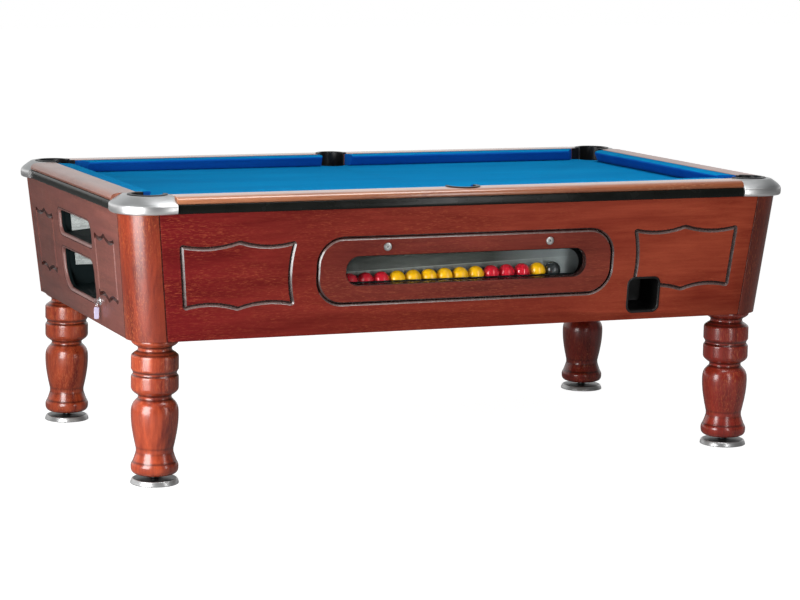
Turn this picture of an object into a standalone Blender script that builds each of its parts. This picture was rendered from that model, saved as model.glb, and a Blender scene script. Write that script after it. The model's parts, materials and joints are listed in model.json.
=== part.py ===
"""Coin-operated pool table: slate bed, cushioned rails, tapered cabinet, turned legs and ball return.

X runs along the table, the viewing window faces -Y, and the floor is Z = 0. Lengths are in metres.
"""

import math

import bmesh
import bpy
from mathutils import Matrix, Vector

# Driving dimensions
BAND_LENGTH = 2.130  # over the trim band, along X
BAND_WIDTH = 1.240  # over the trim band, along Y
BAND_BOTTOM = 0.7975
BAND_TOP = 0.824
BAND_THICK = 0.0075
RAIL_TOP = 0.8465
RAIL_WOOD = 0.085  # from the band's face in to the cushion
CUSHION_NOSE = 0.137  # from the band's face in to the playing edge
CABINET_BOTTOM = 0.425
CABINET_TOP = 0.797
CABINET_SETBACK = 0.0055  # top of the panels, behind the band's face
CABINET_TAPER = 0.037  # how far each side draws in towards the floor
PANEL_THICK = 0.020
POST_RADIUS = 0.095
GAP = 0.0003  # between pieces that touch

SLATE_THICK = 0.019
SLATE_BOTTOM = 0.7863
CLOTH_THICK = 0.002
BED_TOP = SLATE_BOTTOM + SLATE_THICK + GAP + CLOTH_THICK

CORNER_POCKET = (0.093, 0.0495)  # centre, in from both band faces, and the liner's radius
MIDDLE_POCKET = (0.075, 0.0435)
CASTING_ARM = 0.155  # along each rail, from the band's corner
CASTING_BULGE = 0.035

LEG_RADIUS = 0.0695
LEG_INSET = 0.0855  # leg axis, in from the cabinet's bottom corner
LEG_BOTTOM = 0.0285
FOOT_RADIUS = 0.071
STEM_RADIUS = 0.012

WINDOW_X = 0.4765  # half size of the door's opening
WINDOW_Y = 0.100
WINDOW_Z = 0.612
GLASS_X = 0.3865  # half size of the clear window in the door
GLASS_Y = 0.043
WINDOW_LOCK_X = 0.262
WINDOW_LOCK_Z = 0.6815
CUE_BALL_X = 0.5905
CUE_BALL_Z = 0.502
CUE_BALL_HALF = 0.0485

BALL_RADIUS = 0.0254
BALL_COUNT = 15
FIRST_BALL_X = -0.4056
TRAY_Y = -0.535
TRAY_SLOPE = 0.0168
BALL_AXIS_Z = 0.578  # ball centres at X = 0

BAND_X = BAND_LENGTH / 2
BAND_Y = BAND_WIDTH / 2
TOP_X = BAND_X - CABINET_SETBACK
TOP_Y = BAND_Y - CABINET_SETBACK
BOTTOM_X = TOP_X - CABINET_TAPER
BOTTOM_Y = TOP_Y - CABINET_TAPER
CABINET_HEIGHT = CABINET_TOP - CABINET_BOTTOM
LEAN = math.atan2(CABINET_TAPER, CABINET_HEIGHT)
SLOPE_HEIGHT = math.hypot(CABINET_TAPER, CABINET_HEIGHT)
POST_INNER = POST_RADIUS - PANEL_THICK
CORNERS = {"front_left": (-1, -1), "front_right": (1, -1), "back_right": (1, 1), "back_left": (-1, 1)}
SIDE_TURN = {"front": 0.0, "right_end": 90.0, "back": 180.0, "left_end": -90.0}


# Scene and materials

for existing in list(bpy.data.objects):
    bpy.data.objects.remove(existing, do_unlink=True)

PARTS = bpy.data.collections.new("pool_table")
CUTTERS = bpy.data.collections.new("pool_table_cutters")
bpy.context.scene.collection.children.link(PARTS)
bpy.context.scene.collection.children.link(CUTTERS)
ROOT = bpy.data.objects.new("pool_table_frame", None)
PARTS.objects.link(ROOT)


def material(name, colour, roughness, metallic=0.0):
    made = bpy.data.materials.new(name)
    made.use_nodes = True
    shader = made.node_tree.nodes["Principled BSDF"]
    shader.inputs["Base Color"].default_value = (*colour, 1.0)
    shader.inputs["Roughness"].default_value = roughness
    shader.inputs["Metallic"].default_value = metallic
    return made


MAHOGANY = material("mahogany", (0.20, 0.035, 0.022), 0.35)
TURNED_WOOD = material("turned_mahogany", (0.36, 0.075, 0.030), 0.25)
SLATE = material("slate", (0.08, 0.09, 0.10), 0.7)
CLOTH = material("blue_cloth", (0.004, 0.19, 0.42), 0.95)
BLACK_PLASTIC = material("black_plastic", (0.008, 0.009, 0.010), 0.4)
CAST_ALUMINIUM = material("cast_aluminium", (0.55, 0.55, 0.56), 0.35, 1.0)
CHROME = material("chrome", (0.75, 0.75, 0.76), 0.15, 1.0)
GALVANISED = material("galvanised_steel", (0.38, 0.40, 0.40), 0.5, 1.0)
GLASS = material("glass", (0.85, 0.92, 0.90), 0.05)
BALL_RESIN = material("ball_resin", (0.75, 0.42, 0.01), 0.12)
RAW_TIMBER = material("raw_timber", (0.45, 0.30, 0.17), 0.7)
TAG_PLASTIC = material("tag_plastic", (0.62, 0.58, 0.75), 0.45)


# Modelling helpers


def add_object(name, mesh, finish, frame=None, parent=ROOT):
    made = bpy.data.objects.new(name, mesh)
    PARTS.objects.link(made)
    mesh.materials.clear()
    mesh.materials.append(finish)
    made.parent = parent
    made.matrix_world = frame or Matrix.Identity(4)
    return made


def smooth(made, angle=40.0):
    made.data.shade_smooth()
    made.data.set_sharp_from_angle(angle=math.radians(angle))
    return made


def add_cutter(name, mesh, frame=None):
    made = bpy.data.objects.new(name, mesh)
    CUTTERS.objects.link(made)
    made.matrix_world = frame or Matrix.Identity(4)
    made.hide_render = True
    made.display_type = "WIRE"
    return made


def boolean(target, other, operation):
    step = target.modifiers.new(operation.lower() + "_" + other.name, "BOOLEAN")
    step.operation = operation
    step.solver = "EXACT"
    step.object = other


def cut(target, cutter):
    boolean(target, cutter, "DIFFERENCE")


def join(target, other):
    boolean(target, other, "UNION")


def mesh_from(build):
    """A mesh made by build(bm), with its faces pointing outwards."""
    bm = bmesh.new()
    build(bm)
    bmesh.ops.recalc_face_normals(bm, faces=bm.faces)
    mesh = bpy.data.meshes.new("solid")
    bm.to_mesh(mesh)
    bm.free()
    return mesh


def box_mesh(low, high):
    centre = (Vector(low) + Vector(high)) / 2
    size = Vector(high) - Vector(low)
    place = Matrix.Translation(centre) @ Matrix.Diagonal((*size, 1.0))
    return mesh_from(lambda bm: bmesh.ops.create_cube(bm, size=1.0, matrix=place))


def rod_mesh(radius, low, high, sides=16, centre=(0.0, 0.0)):
    place = Matrix.Translation((*centre, (low + high) / 2))

    def build(bm):
        bmesh.ops.create_cone(
            bm, cap_ends=True, segments=sides, radius1=radius, radius2=radius, depth=high - low, matrix=place
        )

    return mesh_from(build)


def curve_mesh(curve):
    """A curve's evaluated surface as a welded mesh."""
    holder = bpy.data.objects.new("outline", curve)
    CUTTERS.objects.link(holder)
    graph = bpy.context.evaluated_depsgraph_get()
    mesh = bpy.data.meshes.new_from_object(holder.evaluated_get(graph))
    bpy.data.objects.remove(holder, do_unlink=True)
    bm = bmesh.new()
    bm.from_mesh(mesh)
    bmesh.ops.remove_doubles(bm, verts=bm.verts, dist=1e-6)
    bmesh.ops.recalc_face_normals(bm, faces=bm.faces)
    bm.to_mesh(mesh)
    bm.free()
    mesh.shade_flat()
    return mesh


def poly_splines(curve, outlines):
    for outline in outlines:
        spline = curve.splines.new("POLY")
        spline.points.add(len(outline) - 1)
        for point, place in zip(spline.points, outline):
            point.co = (place[0], place[1], 0.0, 1.0)
        spline.use_cyclic_u = True


def plate_mesh(outlines, low, high):
    """A flat plate from low to high; outlines after the first are holes."""
    curve = bpy.data.curves.new("plate", "CURVE")
    curve.dimensions = "2D"
    curve.fill_mode = "BOTH"
    curve.extrude = (high - low) / 2
    poly_splines(curve, outlines)
    mesh = curve_mesh(curve)
    mesh.transform(Matrix.Translation((0.0, 0.0, (low + high) / 2)))
    return mesh


def groove_mesh(outline, reach, depth):
    """A closed four-sided tube along an outline, which routs a V groove that deep."""
    curve = bpy.data.curves.new("groove", "CURVE")
    curve.dimensions = "3D"
    curve.twist_mode = "Z_UP"
    curve.bevel_depth = reach
    curve.bevel_resolution = 0
    poly_splines(curve, [outline])
    mesh = curve_mesh(curve)
    mesh.transform(Matrix.Translation((0.0, 0.0, reach - depth)))
    return mesh


def loft_mesh(rings):
    """A solid through rings that have the same number of points, with both ends capped."""

    def build(bm):
        layers = [[bm.verts.new(point) for point in ring] for ring in rings]
        count = len(rings[0])
        for lower, upper in zip(layers, layers[1:]):
            for i in range(count):
                j = (i + 1) % count
                bm.faces.new((lower[i], lower[j], upper[j], upper[i]))
        bm.faces.new(layers[0][::-1])
        bm.faces.new(layers[-1])

    return mesh_from(build)


def turned(name, profile, steps, finish, place, parent=ROOT):
    """A turned piece; its profile runs from the top of the axis down the outer side."""
    mesh = bpy.data.meshes.new(name)
    points = [(radius, 0.0, height) for radius, height in profile]
    mesh.from_pydata(points, [(i, i + 1) for i in range(len(points) - 1)], [])
    made = add_object(name, mesh, finish, Matrix.Translation(place), parent)
    lathe = made.modifiers.new("lathe", "SCREW")
    lathe.axis = "Z"
    lathe.steps = steps
    lathe.render_steps = steps
    lathe.use_merge_vertices = True
    lathe.merge_threshold = 1e-5
    lathe.use_smooth_shade = True
    return made


def arc(centre, radius, start, end, steps):
    """Points along an arc, from start to end in degrees."""
    turns = [math.radians(start + (end - start) * i / steps) for i in range(steps + 1)]
    return [(centre[0] + radius * math.cos(t), centre[1] + radius * math.sin(t)) for t in turns]


def rounded_rectangle(centre, half, radii, steps=6):
    """Corners run bottom left, bottom right, top right, top left; radii is one number or four."""
    radii = radii if isinstance(radii, (list, tuple)) else [radii] * 4
    points = []
    for index, (sx, sy) in enumerate([(-1, -1), (1, -1), (1, 1), (-1, 1)]):
        radius = radii[index]
        middle = (centre[0] + sx * (half[0] - radius), centre[1] + sy * (half[1] - radius))
        points += arc(middle, radius, 180 + 90 * index, 270 + 90 * index, steps)
    return points


def scallop(start, end, sag, steps):
    """Points from start up to, not including, end, bowed to the left of the way by sag."""
    start, end = Vector(start), Vector(end)
    left = Vector((start.y - end.y, end.x - start.x)).normalized()
    shares = [i / steps for i in range(steps)]
    return [tuple(start.lerp(end, t) + left * (sag * 4 * t * (1 - t))) for t in shares]


def bezier(a, b, c, d, steps):
    shares = [i / steps for i in range(steps + 1)]
    a, b, c, d = (Vector(p) for p in (a, b, c, d))
    return [
        tuple(a * (1 - t) ** 3 + b * (3 * t * (1 - t) ** 2) + c * (3 * t * t * (1 - t)) + d * t**3) for t in shares
    ]


# Frames of reference


def side_frame(side):
    """Origin at the foot of a cabinet side's outer face: x to the right, y up the slope, z outwards."""
    reach = BOTTOM_Y if side in ("front", "back") else BOTTOM_X
    lean = Matrix.Rotation(math.radians(90) + LEAN, 4, "X")
    turn = Matrix.Rotation(math.radians(SIDE_TURN[side]), 4, "Z")
    return turn @ Matrix.Translation((0.0, -reach, CABINET_BOTTOM)) @ lean


def up_slope(height):
    """How far up a cabinet side's slope a height above the floor lies."""
    return (height - CABINET_BOTTOM) / math.cos(LEAN)


def on_rail(side, along, inset, height):
    """A point at a distance along a rail, to the right from outside, and in from the band's face."""
    reach = BAND_Y if side in ("front", "back") else BAND_X
    turn = Matrix.Rotation(math.radians(SIDE_TURN[side]), 4, "Z")
    return turn @ Vector((along, inset - reach, height))


def tray_height(x):
    return BALL_AXIS_Z + TRAY_SLOPE * x


POCKETS = {  # centre, and the direction of the mouth
    f"{name}_pocket": (
        Vector((sx * (BAND_X - CORNER_POCKET[0]), sy * (BAND_Y - CORNER_POCKET[0]))),
        Vector((-sx, -sy)),
    )
    for name, (sx, sy) in CORNERS.items()
}
POCKETS["front_middle_pocket"] = (Vector((0.0, MIDDLE_POCKET[0] - BAND_Y)), Vector((0.0, 1.0)))
POCKETS["back_middle_pocket"] = (Vector((0.0, BAND_Y - MIDDLE_POCKET[0])), Vector((0.0, -1.0)))


def liner_radius(name):
    return MIDDLE_POCKET[1] if "middle" in name else CORNER_POCKET[1]


# Playing bed

BED_HOLE_CLEARANCE = 0.002
BED_CORNER = POST_INNER - 0.0025
CLOTH_MARGIN = 0.033  # the cloth stops under the rails
NOTCH_REACH = 0.15  # past the slate's edge


def pocket_cutter(name, clearance):
    """An upright cylinder through a pocket, from below the bed to above the rails."""
    radius = liner_radius(name) + clearance
    centre, _ = POCKETS[name]
    return add_cutter(f"{name}_hole", rod_mesh(radius, SLATE_BOTTOM - 0.05, RAIL_TOP + 0.05, 20, centre))


def notch_cutter(name, clearance):
    """A pocket's notch in the slate, round towards the bed and open to the slate's edge."""
    centre, mouth = POCKETS[name]
    heading = math.degrees(math.atan2(mouth.y, mouth.x))
    curved = arc(centre, liner_radius(name) + clearance, heading - 90.0, heading + 90.0, 10)
    outwards = mouth.normalized() * NOTCH_REACH
    outline = [Vector(curved[0]) - outwards] + curved + [Vector(curved[-1]) - outwards]
    return add_cutter(f"{name}_notch", plate_mesh([outline], SLATE_BOTTOM - 0.05, RAIL_TOP))


def make_bed():
    corner_x, corner_y = TOP_X - POST_RADIUS, TOP_Y - POST_RADIUS
    half = (corner_x + BED_CORNER, corner_y + BED_CORNER)
    outline = rounded_rectangle((0.0, 0.0), half, BED_CORNER, 5)
    slate_top = SLATE_BOTTOM + SLATE_THICK
    slate = add_object("slate_bed", plate_mesh([outline], SLATE_BOTTOM, slate_top), SLATE)
    inner = (half[0] - CLOTH_MARGIN, half[1] - CLOTH_MARGIN)
    cloth_outline = rounded_rectangle((0.0, 0.0), inner, 0.02, 3)
    cloth = add_object("bed_cloth", plate_mesh([cloth_outline], slate_top + GAP, BED_TOP), CLOTH)
    for name in POCKETS:
        cut(slate, notch_cutter(name, BED_HOLE_CLEARANCE))
        cut(cloth, pocket_cutter(name, BED_HOLE_CLEARANCE))


# Rails, trim band, cushions, corner castings and pocket liners

RAIL_FLOOR = BED_TOP + GAP
RAIL_SEAT = 0.0262  # the part of a rail that stands on the cabinet's top edge
RAIL_PROFILE = [
    (BAND_THICK + GAP, BAND_BOTTOM),
    (RAIL_SEAT, BAND_BOTTOM),
    (RAIL_SEAT, RAIL_FLOOR),
    (RAIL_WOOD, RAIL_FLOOR),
    (RAIL_WOOD, RAIL_TOP - 0.0015),
    (0.060, RAIL_TOP),
    (0.030, RAIL_TOP),
    (0.016, RAIL_TOP - 0.0015),
    (0.007, RAIL_TOP - 0.0055),
    (0.0025, RAIL_TOP - 0.012),
    (0.002, RAIL_TOP - 0.019),
    (BAND_THICK + GAP, BAND_TOP + GAP),
]
BAND_PROFILE = [
    (BAND_THICK, BAND_BOTTOM),
    (BAND_THICK, BAND_TOP),
    (0.004, BAND_TOP),
    (0.0008, BAND_TOP - 0.006),
    (0.0, (BAND_TOP + BAND_BOTTOM) / 2),
    (0.0008, BAND_BOTTOM + 0.006),
    (0.004, BAND_BOTTOM),
]
CUSHION_PROFILE = [
    (RAIL_WOOD + GAP, BED_TOP + GAP),
    (0.118, BED_TOP + 0.002),
    (0.131, BED_TOP + 0.021),
    (CUSHION_NOSE, BED_TOP + 0.0295),
    (CUSHION_NOSE - 0.0005, BED_TOP + 0.033),
    (0.132, RAIL_TOP - 0.0025),
    (0.122, RAIL_TOP - 0.001),
    (RAIL_WOOD + GAP, RAIL_TOP - 0.001),
]
CORNER_JAW = (0.166, 0.203)  # cushion end in from the band's corner, at the rail and at the nose
MIDDLE_JAW = (0.0445, 0.054)  # cushion end from the table's middle, at the rail and at the nose


def rail_bar(name, side, profile, start, end, finish):
    """A moulding along one side; start and end give where it stops at the rail and at the nose."""

    def ring(stop):
        at_rail, at_nose = stop
        points = []
        for inset, height in profile:
            share = min(max((inset - RAIL_WOOD) / (CUSHION_NOSE - RAIL_WOOD), 0.0), 1.0)
            points.append(on_rail(side, at_rail + (at_nose - at_rail) * share, inset, height))
        return points

    origin = on_rail(side, (start[0] + end[0]) / 2, 0.0, BAND_BOTTOM)
    mesh = loft_mesh([ring(start), ring(end)])
    mesh.transform(Matrix.Translation(-origin))
    return add_object(name, mesh, finish, Matrix.Translation(origin))


def make_rails():
    for side in SIDE_TURN:
        long_side = side in ("front", "back")
        reach = BAND_X if long_side else BAND_Y
        stop = reach - CASTING_ARM - GAP
        rail = smooth(rail_bar(f"{side}_rail", side, RAIL_PROFILE, (-stop, -stop), (stop, stop), TURNED_WOOD))
        smooth(rail_bar(f"{side}_trim_band", side, BAND_PROFILE, (-stop, -stop), (stop, stop), BLACK_PLASTIC))
        corner = (reach - CORNER_JAW[0], reach - CORNER_JAW[1])
        if long_side:
            cut(rail, pocket_cutter(f"{side}_middle_pocket", GAP))
            left = ((-corner[0], -corner[1]), (-MIDDLE_JAW[0], -MIDDLE_JAW[1]))
            right = (MIDDLE_JAW, corner)
            halves = {"left": left, "right": right} if side == "front" else {"right": left, "left": right}
            for half, (start, end) in halves.items():
                smooth(rail_bar(f"{side}_{half}_cushion", side, CUSHION_PROFILE, start, end, CLOTH))
        else:
            ends = ((-corner[0], -corner[1]), corner)
            smooth(rail_bar(f"{side}_cushion", side, CUSHION_PROFILE, *ends, CLOTH))


CASTING_LEVELS = [  # height, and how far the outer curve draws in there
    (BAND_BOTTOM, 0.005),
    (BAND_BOTTOM + 0.005, 0.0005),
    (BAND_BOTTOM + 0.018, 0.0),
    (BAND_BOTTOM + 0.0245, 0.0025),
    (BAND_BOTTOM + 0.033, 0.012),
    (BAND_BOTTOM + 0.042, 0.028),
    (RAIL_TOP, 0.044),
]
CASTING_STEPS = 12


def casting_ring(sx, sy, height, draw_in):
    """One level of a corner casting: a bulging outer curve, and square arms that meet the rails."""
    lip = -0.005  # the arms stand this far outside the band
    arm_x, arm_y = BAND_X - CASTING_ARM, BAND_Y - CASTING_ARM
    inset = lip + draw_in
    start = (arm_x, BAND_Y - inset)
    end = (BAND_X - inset, arm_y)
    reach = 0.75 * CASTING_ARM
    outer = bezier(
        start,
        (start[0] + reach, start[1] + CASTING_BULGE),
        (end[0] + CASTING_BULGE, end[1] + reach),
        end,
        CASTING_STEPS,
    )
    inner_x, inner_y = BAND_X - RAIL_WOOD, BAND_Y - RAIL_WOOD
    outline = outer + [(inner_x, arm_y), (inner_x, inner_y), (arm_x, inner_y)]
    return [(sx * x, sy * y, height) for x, y in outline]


def make_castings():
    corner_x, corner_y = TOP_X - POST_RADIUS, TOP_Y - POST_RADIUS
    seat = BED_CORNER + 0.0015
    seat_outline = rounded_rectangle((0.0, 0.0), (corner_x + seat, corner_y + seat), seat, 6)
    seat_cutter = add_cutter("bed_seat", plate_mesh([seat_outline], BAND_BOTTOM - 0.02, RAIL_FLOOR))
    for name, (sx, sy) in CORNERS.items():
        rings = [casting_ring(sx, sy, height, draw_in) for height, draw_in in CASTING_LEVELS]
        casting = smooth(add_object(f"{name}_casting", loft_mesh(rings), CAST_ALUMINIUM), 50.0)
        cut(casting, seat_cutter)
        cut(casting, pocket_cutter(f"{name}_pocket", GAP))


LINER_WALL = 0.0035
LINER_BOTTOM = SLATE_BOTTOM - 0.002
LINER_LIP = 0.0095
LIP_TOP = RAIL_TOP + 0.003
MOUTH_FLOOR = BED_TOP - 0.0045
MOUTH_HALF = 0.062
CHEEK_THICK = 0.0035


def make_cheeks(liner, centre, sx, sy):
    """Flat ears of a corner liner, along both rails as far as the cushions."""
    face_x, face_y = BAND_X - RAIL_WOOD - GAP, BAND_Y - RAIL_WOOD - GAP
    end_x, end_y = BAND_X - CORNER_JAW[0] + 2 * GAP, BAND_Y - CORNER_JAW[0] + 2 * GAP
    wall_x = abs(centre.x) - CORNER_POCKET[1] + LINER_WALL / 2
    wall_y = abs(centre.y) - CORNER_POCKET[1] + LINER_WALL / 2
    low, high = BED_TOP + 2 * GAP, RAIL_TOP - GAP
    spans = {
        "long": ((end_x, face_y - CHEEK_THICK), (wall_x, face_y)),
        "end": ((face_x - CHEEK_THICK, end_y), (face_x, wall_y)),
    }
    for name, (near, far) in spans.items():
        first, last = (sx * near[0], sy * near[1]), (sx * far[0], sy * far[1])
        corner = [min(a, b) for a, b in zip(first, last)]
        other = [max(a, b) for a, b in zip(first, last)]
        join(liner, add_cutter(f"{liner.name}_{name}_cheek", box_mesh((*corner, low), (*other, high))))


def make_liners():
    """Pocket boots, each a lipped cup that is open at the jaws above the bed."""
    for name, (centre, towards) in POCKETS.items():
        outer = liner_radius(name)
        inner = outer - LINER_WALL
        profile = [
            (inner, LIP_TOP),
            (outer + LINER_LIP - 0.002, LIP_TOP),
            (outer + LINER_LIP, RAIL_TOP + GAP),
            (outer, RAIL_TOP + GAP),
            (outer, LINER_BOTTOM),
            (inner, LINER_BOTTOM),
            (inner, LIP_TOP),
        ]
        liner = turned(f"{name}_liner", profile, 20, BLACK_PLASTIC, (*centre, 0.0))
        near = 0.012 if "middle" in name else 0.034
        mouth = box_mesh((near, -MOUTH_HALF, MOUTH_FLOOR), (0.09, MOUTH_HALF, RAIL_TOP + 0.02))
        turn = Matrix.Rotation(math.atan2(towards.y, towards.x), 4, "Z")
        cut(liner, add_cutter(f"{name}_mouth", mouth, Matrix.Translation((*centre, 0.0)) @ turn))
        if "middle" not in name:
            make_cheeks(liner, centre, *CORNERS[name.removesuffix("_pocket")])


# Cabinet

GROOVE_CUTTER = 0.0065  # half width of the square bit, on its point
GROOVE_DEPTH = 0.005
SCALLOP_SAG = 0.012
BRACKET_TOP = 0.703
BRACKET_BOTTOM = 0.522
BRACKET_PEAK = 0.007
LONG_BRACKET = (0.550, 0.886)  # inner and outer edge, from the side's middle
END_BRACKET = (0.247, 0.443)
UPPER_OPENING = ((-0.165, 0.660), (0.199, 0.729))
UPPER_RADII = (0.027, 0.010, 0.032, 0.012)
LOWER_OPENING = ((-0.159, 0.492), (0.193, 0.611))
LOWER_RADII = (0.072, 0.018, 0.030, 0.020)
WINDOW_RADIUS = 0.080
END_LOCK_PLACE = (0.243, 0.500)
BARREL_RADIUS = 0.009
BARREL_CLEARANCE = 0.0005


def bracket(inner, outer, side, concave):
    """A scalloped ornament outline: cusped top and bottom, inner edge hollow if concave."""
    low, high = up_slope(BRACKET_BOTTOM), up_slope(BRACKET_TOP)
    draw = (outer - inner) * 0.025
    middle = (inner + outer) / 2
    hollow = SCALLOP_SAG if concave else 0.001
    corners = [
        ((inner, low), SCALLOP_SAG, 5),
        ((middle, low - BRACKET_PEAK), SCALLOP_SAG, 5),
        ((outer - draw, low), 0.0, 1),
        ((outer + draw, high), SCALLOP_SAG, 5),
        ((middle, high + BRACKET_PEAK), SCALLOP_SAG, 5),
        ((inner, high), hollow, 5 if concave else 1),
    ]
    points = []
    for index, (place, sag, steps) in enumerate(corners):
        points += scallop(place, corners[(index + 1) % len(corners)][0], sag, steps)
    return [(side * x, y) for x, y in points]


def opening_outline(opening, radii):
    (left, bottom), (right, top) = opening
    low, high = up_slope(bottom), up_slope(top)
    centre = ((left + right) / 2, (low + high) / 2)
    return rounded_rectangle(centre, ((right - left) / 2, (high - low) / 2), radii, 6)


def window_outline(shrink):
    half = (WINDOW_X - shrink, WINDOW_Y - shrink)
    return rounded_rectangle((0.0, up_slope(WINDOW_Z)), half, WINDOW_RADIUS - shrink, 7)


def cue_ball_outline(grow):
    half = CUE_BALL_HALF + grow
    return rounded_rectangle((CUE_BALL_X, up_slope(CUE_BALL_Z)), (half, half), 0.016 + grow, 4)


def make_panels():
    trim = add_cutter("cabinet_trim", box_mesh((-1.2, -0.8, CABINET_TOP), (1.2, 0.8, CABINET_TOP + 0.05)))
    over = 1.02  # each panel is cut long, then trimmed level
    for side in SIDE_TURN:
        long_side = side in ("front", "back")
        bottom_half = (BOTTOM_X if long_side else BOTTOM_Y) - POST_RADIUS - GAP
        top_half = bottom_half + CABINET_TAPER * over
        top = SLOPE_HEIGHT * over
        outlines = [[(-bottom_half, 0.0), (bottom_half, 0.0), (top_half, top), (-top_half, top)]]
        if side == "front":
            outlines.append(window_outline(0.0))
        if side == "left_end":
            outlines += [
                opening_outline(UPPER_OPENING, UPPER_RADII),
                opening_outline(LOWER_OPENING, LOWER_RADII),
            ]
        frame = side_frame(side)
        panel = add_object(f"{side}_panel", plate_mesh(outlines, -PANEL_THICK, 0.0), MAHOGANY, frame)
        cut(panel, trim)
        inner, outer = LONG_BRACKET if long_side else END_BRACKET
        for mirror in (-1, 1):
            groove = groove_mesh(bracket(inner, outer, mirror, long_side), GROOVE_CUTTER, GROOVE_DEPTH)
            cut(panel, add_cutter(f"{side}_groove_{mirror}", groove, frame))
        if side == "front":
            cut(panel, add_cutter("cue_ball_hole", plate_mesh([cue_ball_outline(0.0035)], -0.05, 0.05), frame))
        if side == "left_end":
            x, z = END_LOCK_PLACE
            hole = rod_mesh(BARREL_RADIUS + BARREL_CLEARANCE, -0.05, 0.05, 16, (x, up_slope(z)))
            cut(panel, add_cutter("end_lock_hole", hole, frame))


def make_posts():
    """Rounded corner posts that lean out with both of their panels."""
    for name, (sx, sy) in CORNERS.items():
        outer = arc((0.0, 0.0), POST_RADIUS, 0.0, 90.0, 9)
        inner = arc((0.0, 0.0), POST_INNER, 90.0, 0.0, 6)
        section = [(sx * x, sy * y) for x, y in outer + inner]
        mesh = plate_mesh([section], 0.0, CABINET_HEIGHT)
        spread = CABINET_TAPER / CABINET_HEIGHT
        mesh.transform(Matrix(((1, 0, sx * spread, 0), (0, 1, sy * spread, 0), (0, 0, 1, 0), (0, 0, 0, 1))))
        foot = (sx * (BOTTOM_X - POST_RADIUS), sy * (BOTTOM_Y - POST_RADIUS), CABINET_BOTTOM)
        smooth(add_object(f"{name}_post", mesh, TURNED_WOOD, Matrix.Translation(foot)))


BASE_THICK = 0.015
BEARER_X = 0.45
BEARER_SIZE = (0.060, 0.040)


def make_carcass():
    corner = POST_INNER - 0.0025
    half = (BOTTOM_X - POST_RADIUS + corner, BOTTOM_Y - POST_RADIUS + corner)
    board = plate_mesh([rounded_rectangle((0.0, 0.0), half, corner, 5)], 0.0, BASE_THICK)
    add_object("base_board", board, RAW_TIMBER, Matrix.Translation((0.0, 0.0, CABINET_BOTTOM)))
    top = SLATE_BOTTOM - GAP
    bottom = top - BEARER_SIZE[1]
    inner_face = BOTTOM_Y + (bottom - CABINET_BOTTOM) * math.tan(LEAN) - PANEL_THICK / math.cos(LEAN)
    reach = inner_face - 2 * GAP
    for name, side in (("left", -1), ("right", 1)):
        x = side * BEARER_X
        mesh = box_mesh((-BEARER_SIZE[0] / 2, -reach, -BEARER_SIZE[1]), (BEARER_SIZE[0] / 2, reach, 0.0))
        add_object(f"{name}_bed_bearer", mesh, RAW_TIMBER, Matrix.Translation((x, 0.0, top)))


LEG_TOP = CABINET_BOTTOM - GAP
BORE_RADIUS = STEM_RADIUS + 0.0004
BORE_TOP = 0.085
LEG_PROFILE = [  # radius as a share of the leg's radius, and height
    (0.0, LEG_TOP),
    (0.97, LEG_TOP),
    (0.985, 0.4175),
    (0.88, 0.4085),
    (0.75, 0.403),
    (0.712, 0.3965),
    (0.74, 0.3905),
    (0.92, 0.3815),
    (1.00, 0.373),
    (1.00, 0.3355),
    (0.925, 0.3285),
    (0.925, 0.3225),
    (1.00, 0.3145),
    (1.00, 0.280),
    (0.88, 0.269),
    (0.74, 0.262),
    (0.70, 0.2565),
    (0.73, 0.250),
    (0.88, 0.239),
    (0.98, 0.224),
    (1.00, 0.203),
    (0.97, 0.170),
    (0.87, 0.128),
    (0.79, 0.100),
    (0.80, 0.088),
    (0.93, 0.065),
    (1.00, 0.052),
    (0.995, 0.043),
    (0.94, 0.0345),
    (0.80, LEG_BOTTOM),
    (BORE_RADIUS / LEG_RADIUS, LEG_BOTTOM),
    (BORE_RADIUS / LEG_RADIUS, BORE_TOP),
    (0.0, BORE_TOP),
]
FOOT_PROFILE = [
    (0.0, BORE_TOP - 0.006),
    (STEM_RADIUS, BORE_TOP - 0.006),
    (STEM_RADIUS, 0.0165),
    (0.030, 0.0158),
    (FOOT_RADIUS - 0.0075, 0.015),
    (FOOT_RADIUS - 0.0045, 0.014),
    (FOOT_RADIUS - 0.0005, 0.004),
    (FOOT_RADIUS, 0.0022),
    (FOOT_RADIUS - 0.0015, 0.0),
    (0.0, 0.0),
]


def make_legs():
    for name, (sx, sy) in CORNERS.items():
        place = (sx * (BOTTOM_X - LEG_INSET), sy * (BOTTOM_Y - LEG_INSET), 0.0)
        profile = [(share * LEG_RADIUS, height) for share, height in LEG_PROFILE]
        turned(f"{name}_leg", profile, 16, TURNED_WOOD, place)
        turned(f"{name}_levelling_foot", FOOT_PROFILE, 16, CHROME, place)


# Viewing window

DOOR_GAP = 0.003
DOOR_LOCK_TONGUE = 0.038


def lock_mesh(tongue, width):
    """A cam lock along z: round face outside the panel, barrel through it, and a tongue behind."""
    back = -(PANEL_THICK + 0.0015)
    rear = back - 0.003
    face = rod_mesh(0.0125, GAP, 0.0035, 16)
    barrel = add_cutter("lock_barrel", rod_mesh(BARREL_RADIUS, rear, 0.002, 16))
    blade = add_cutter("lock_tongue", box_mesh((0.0, -width / 2, rear), (tongue, width / 2, back)))
    return face, (barrel, blade)


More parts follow.
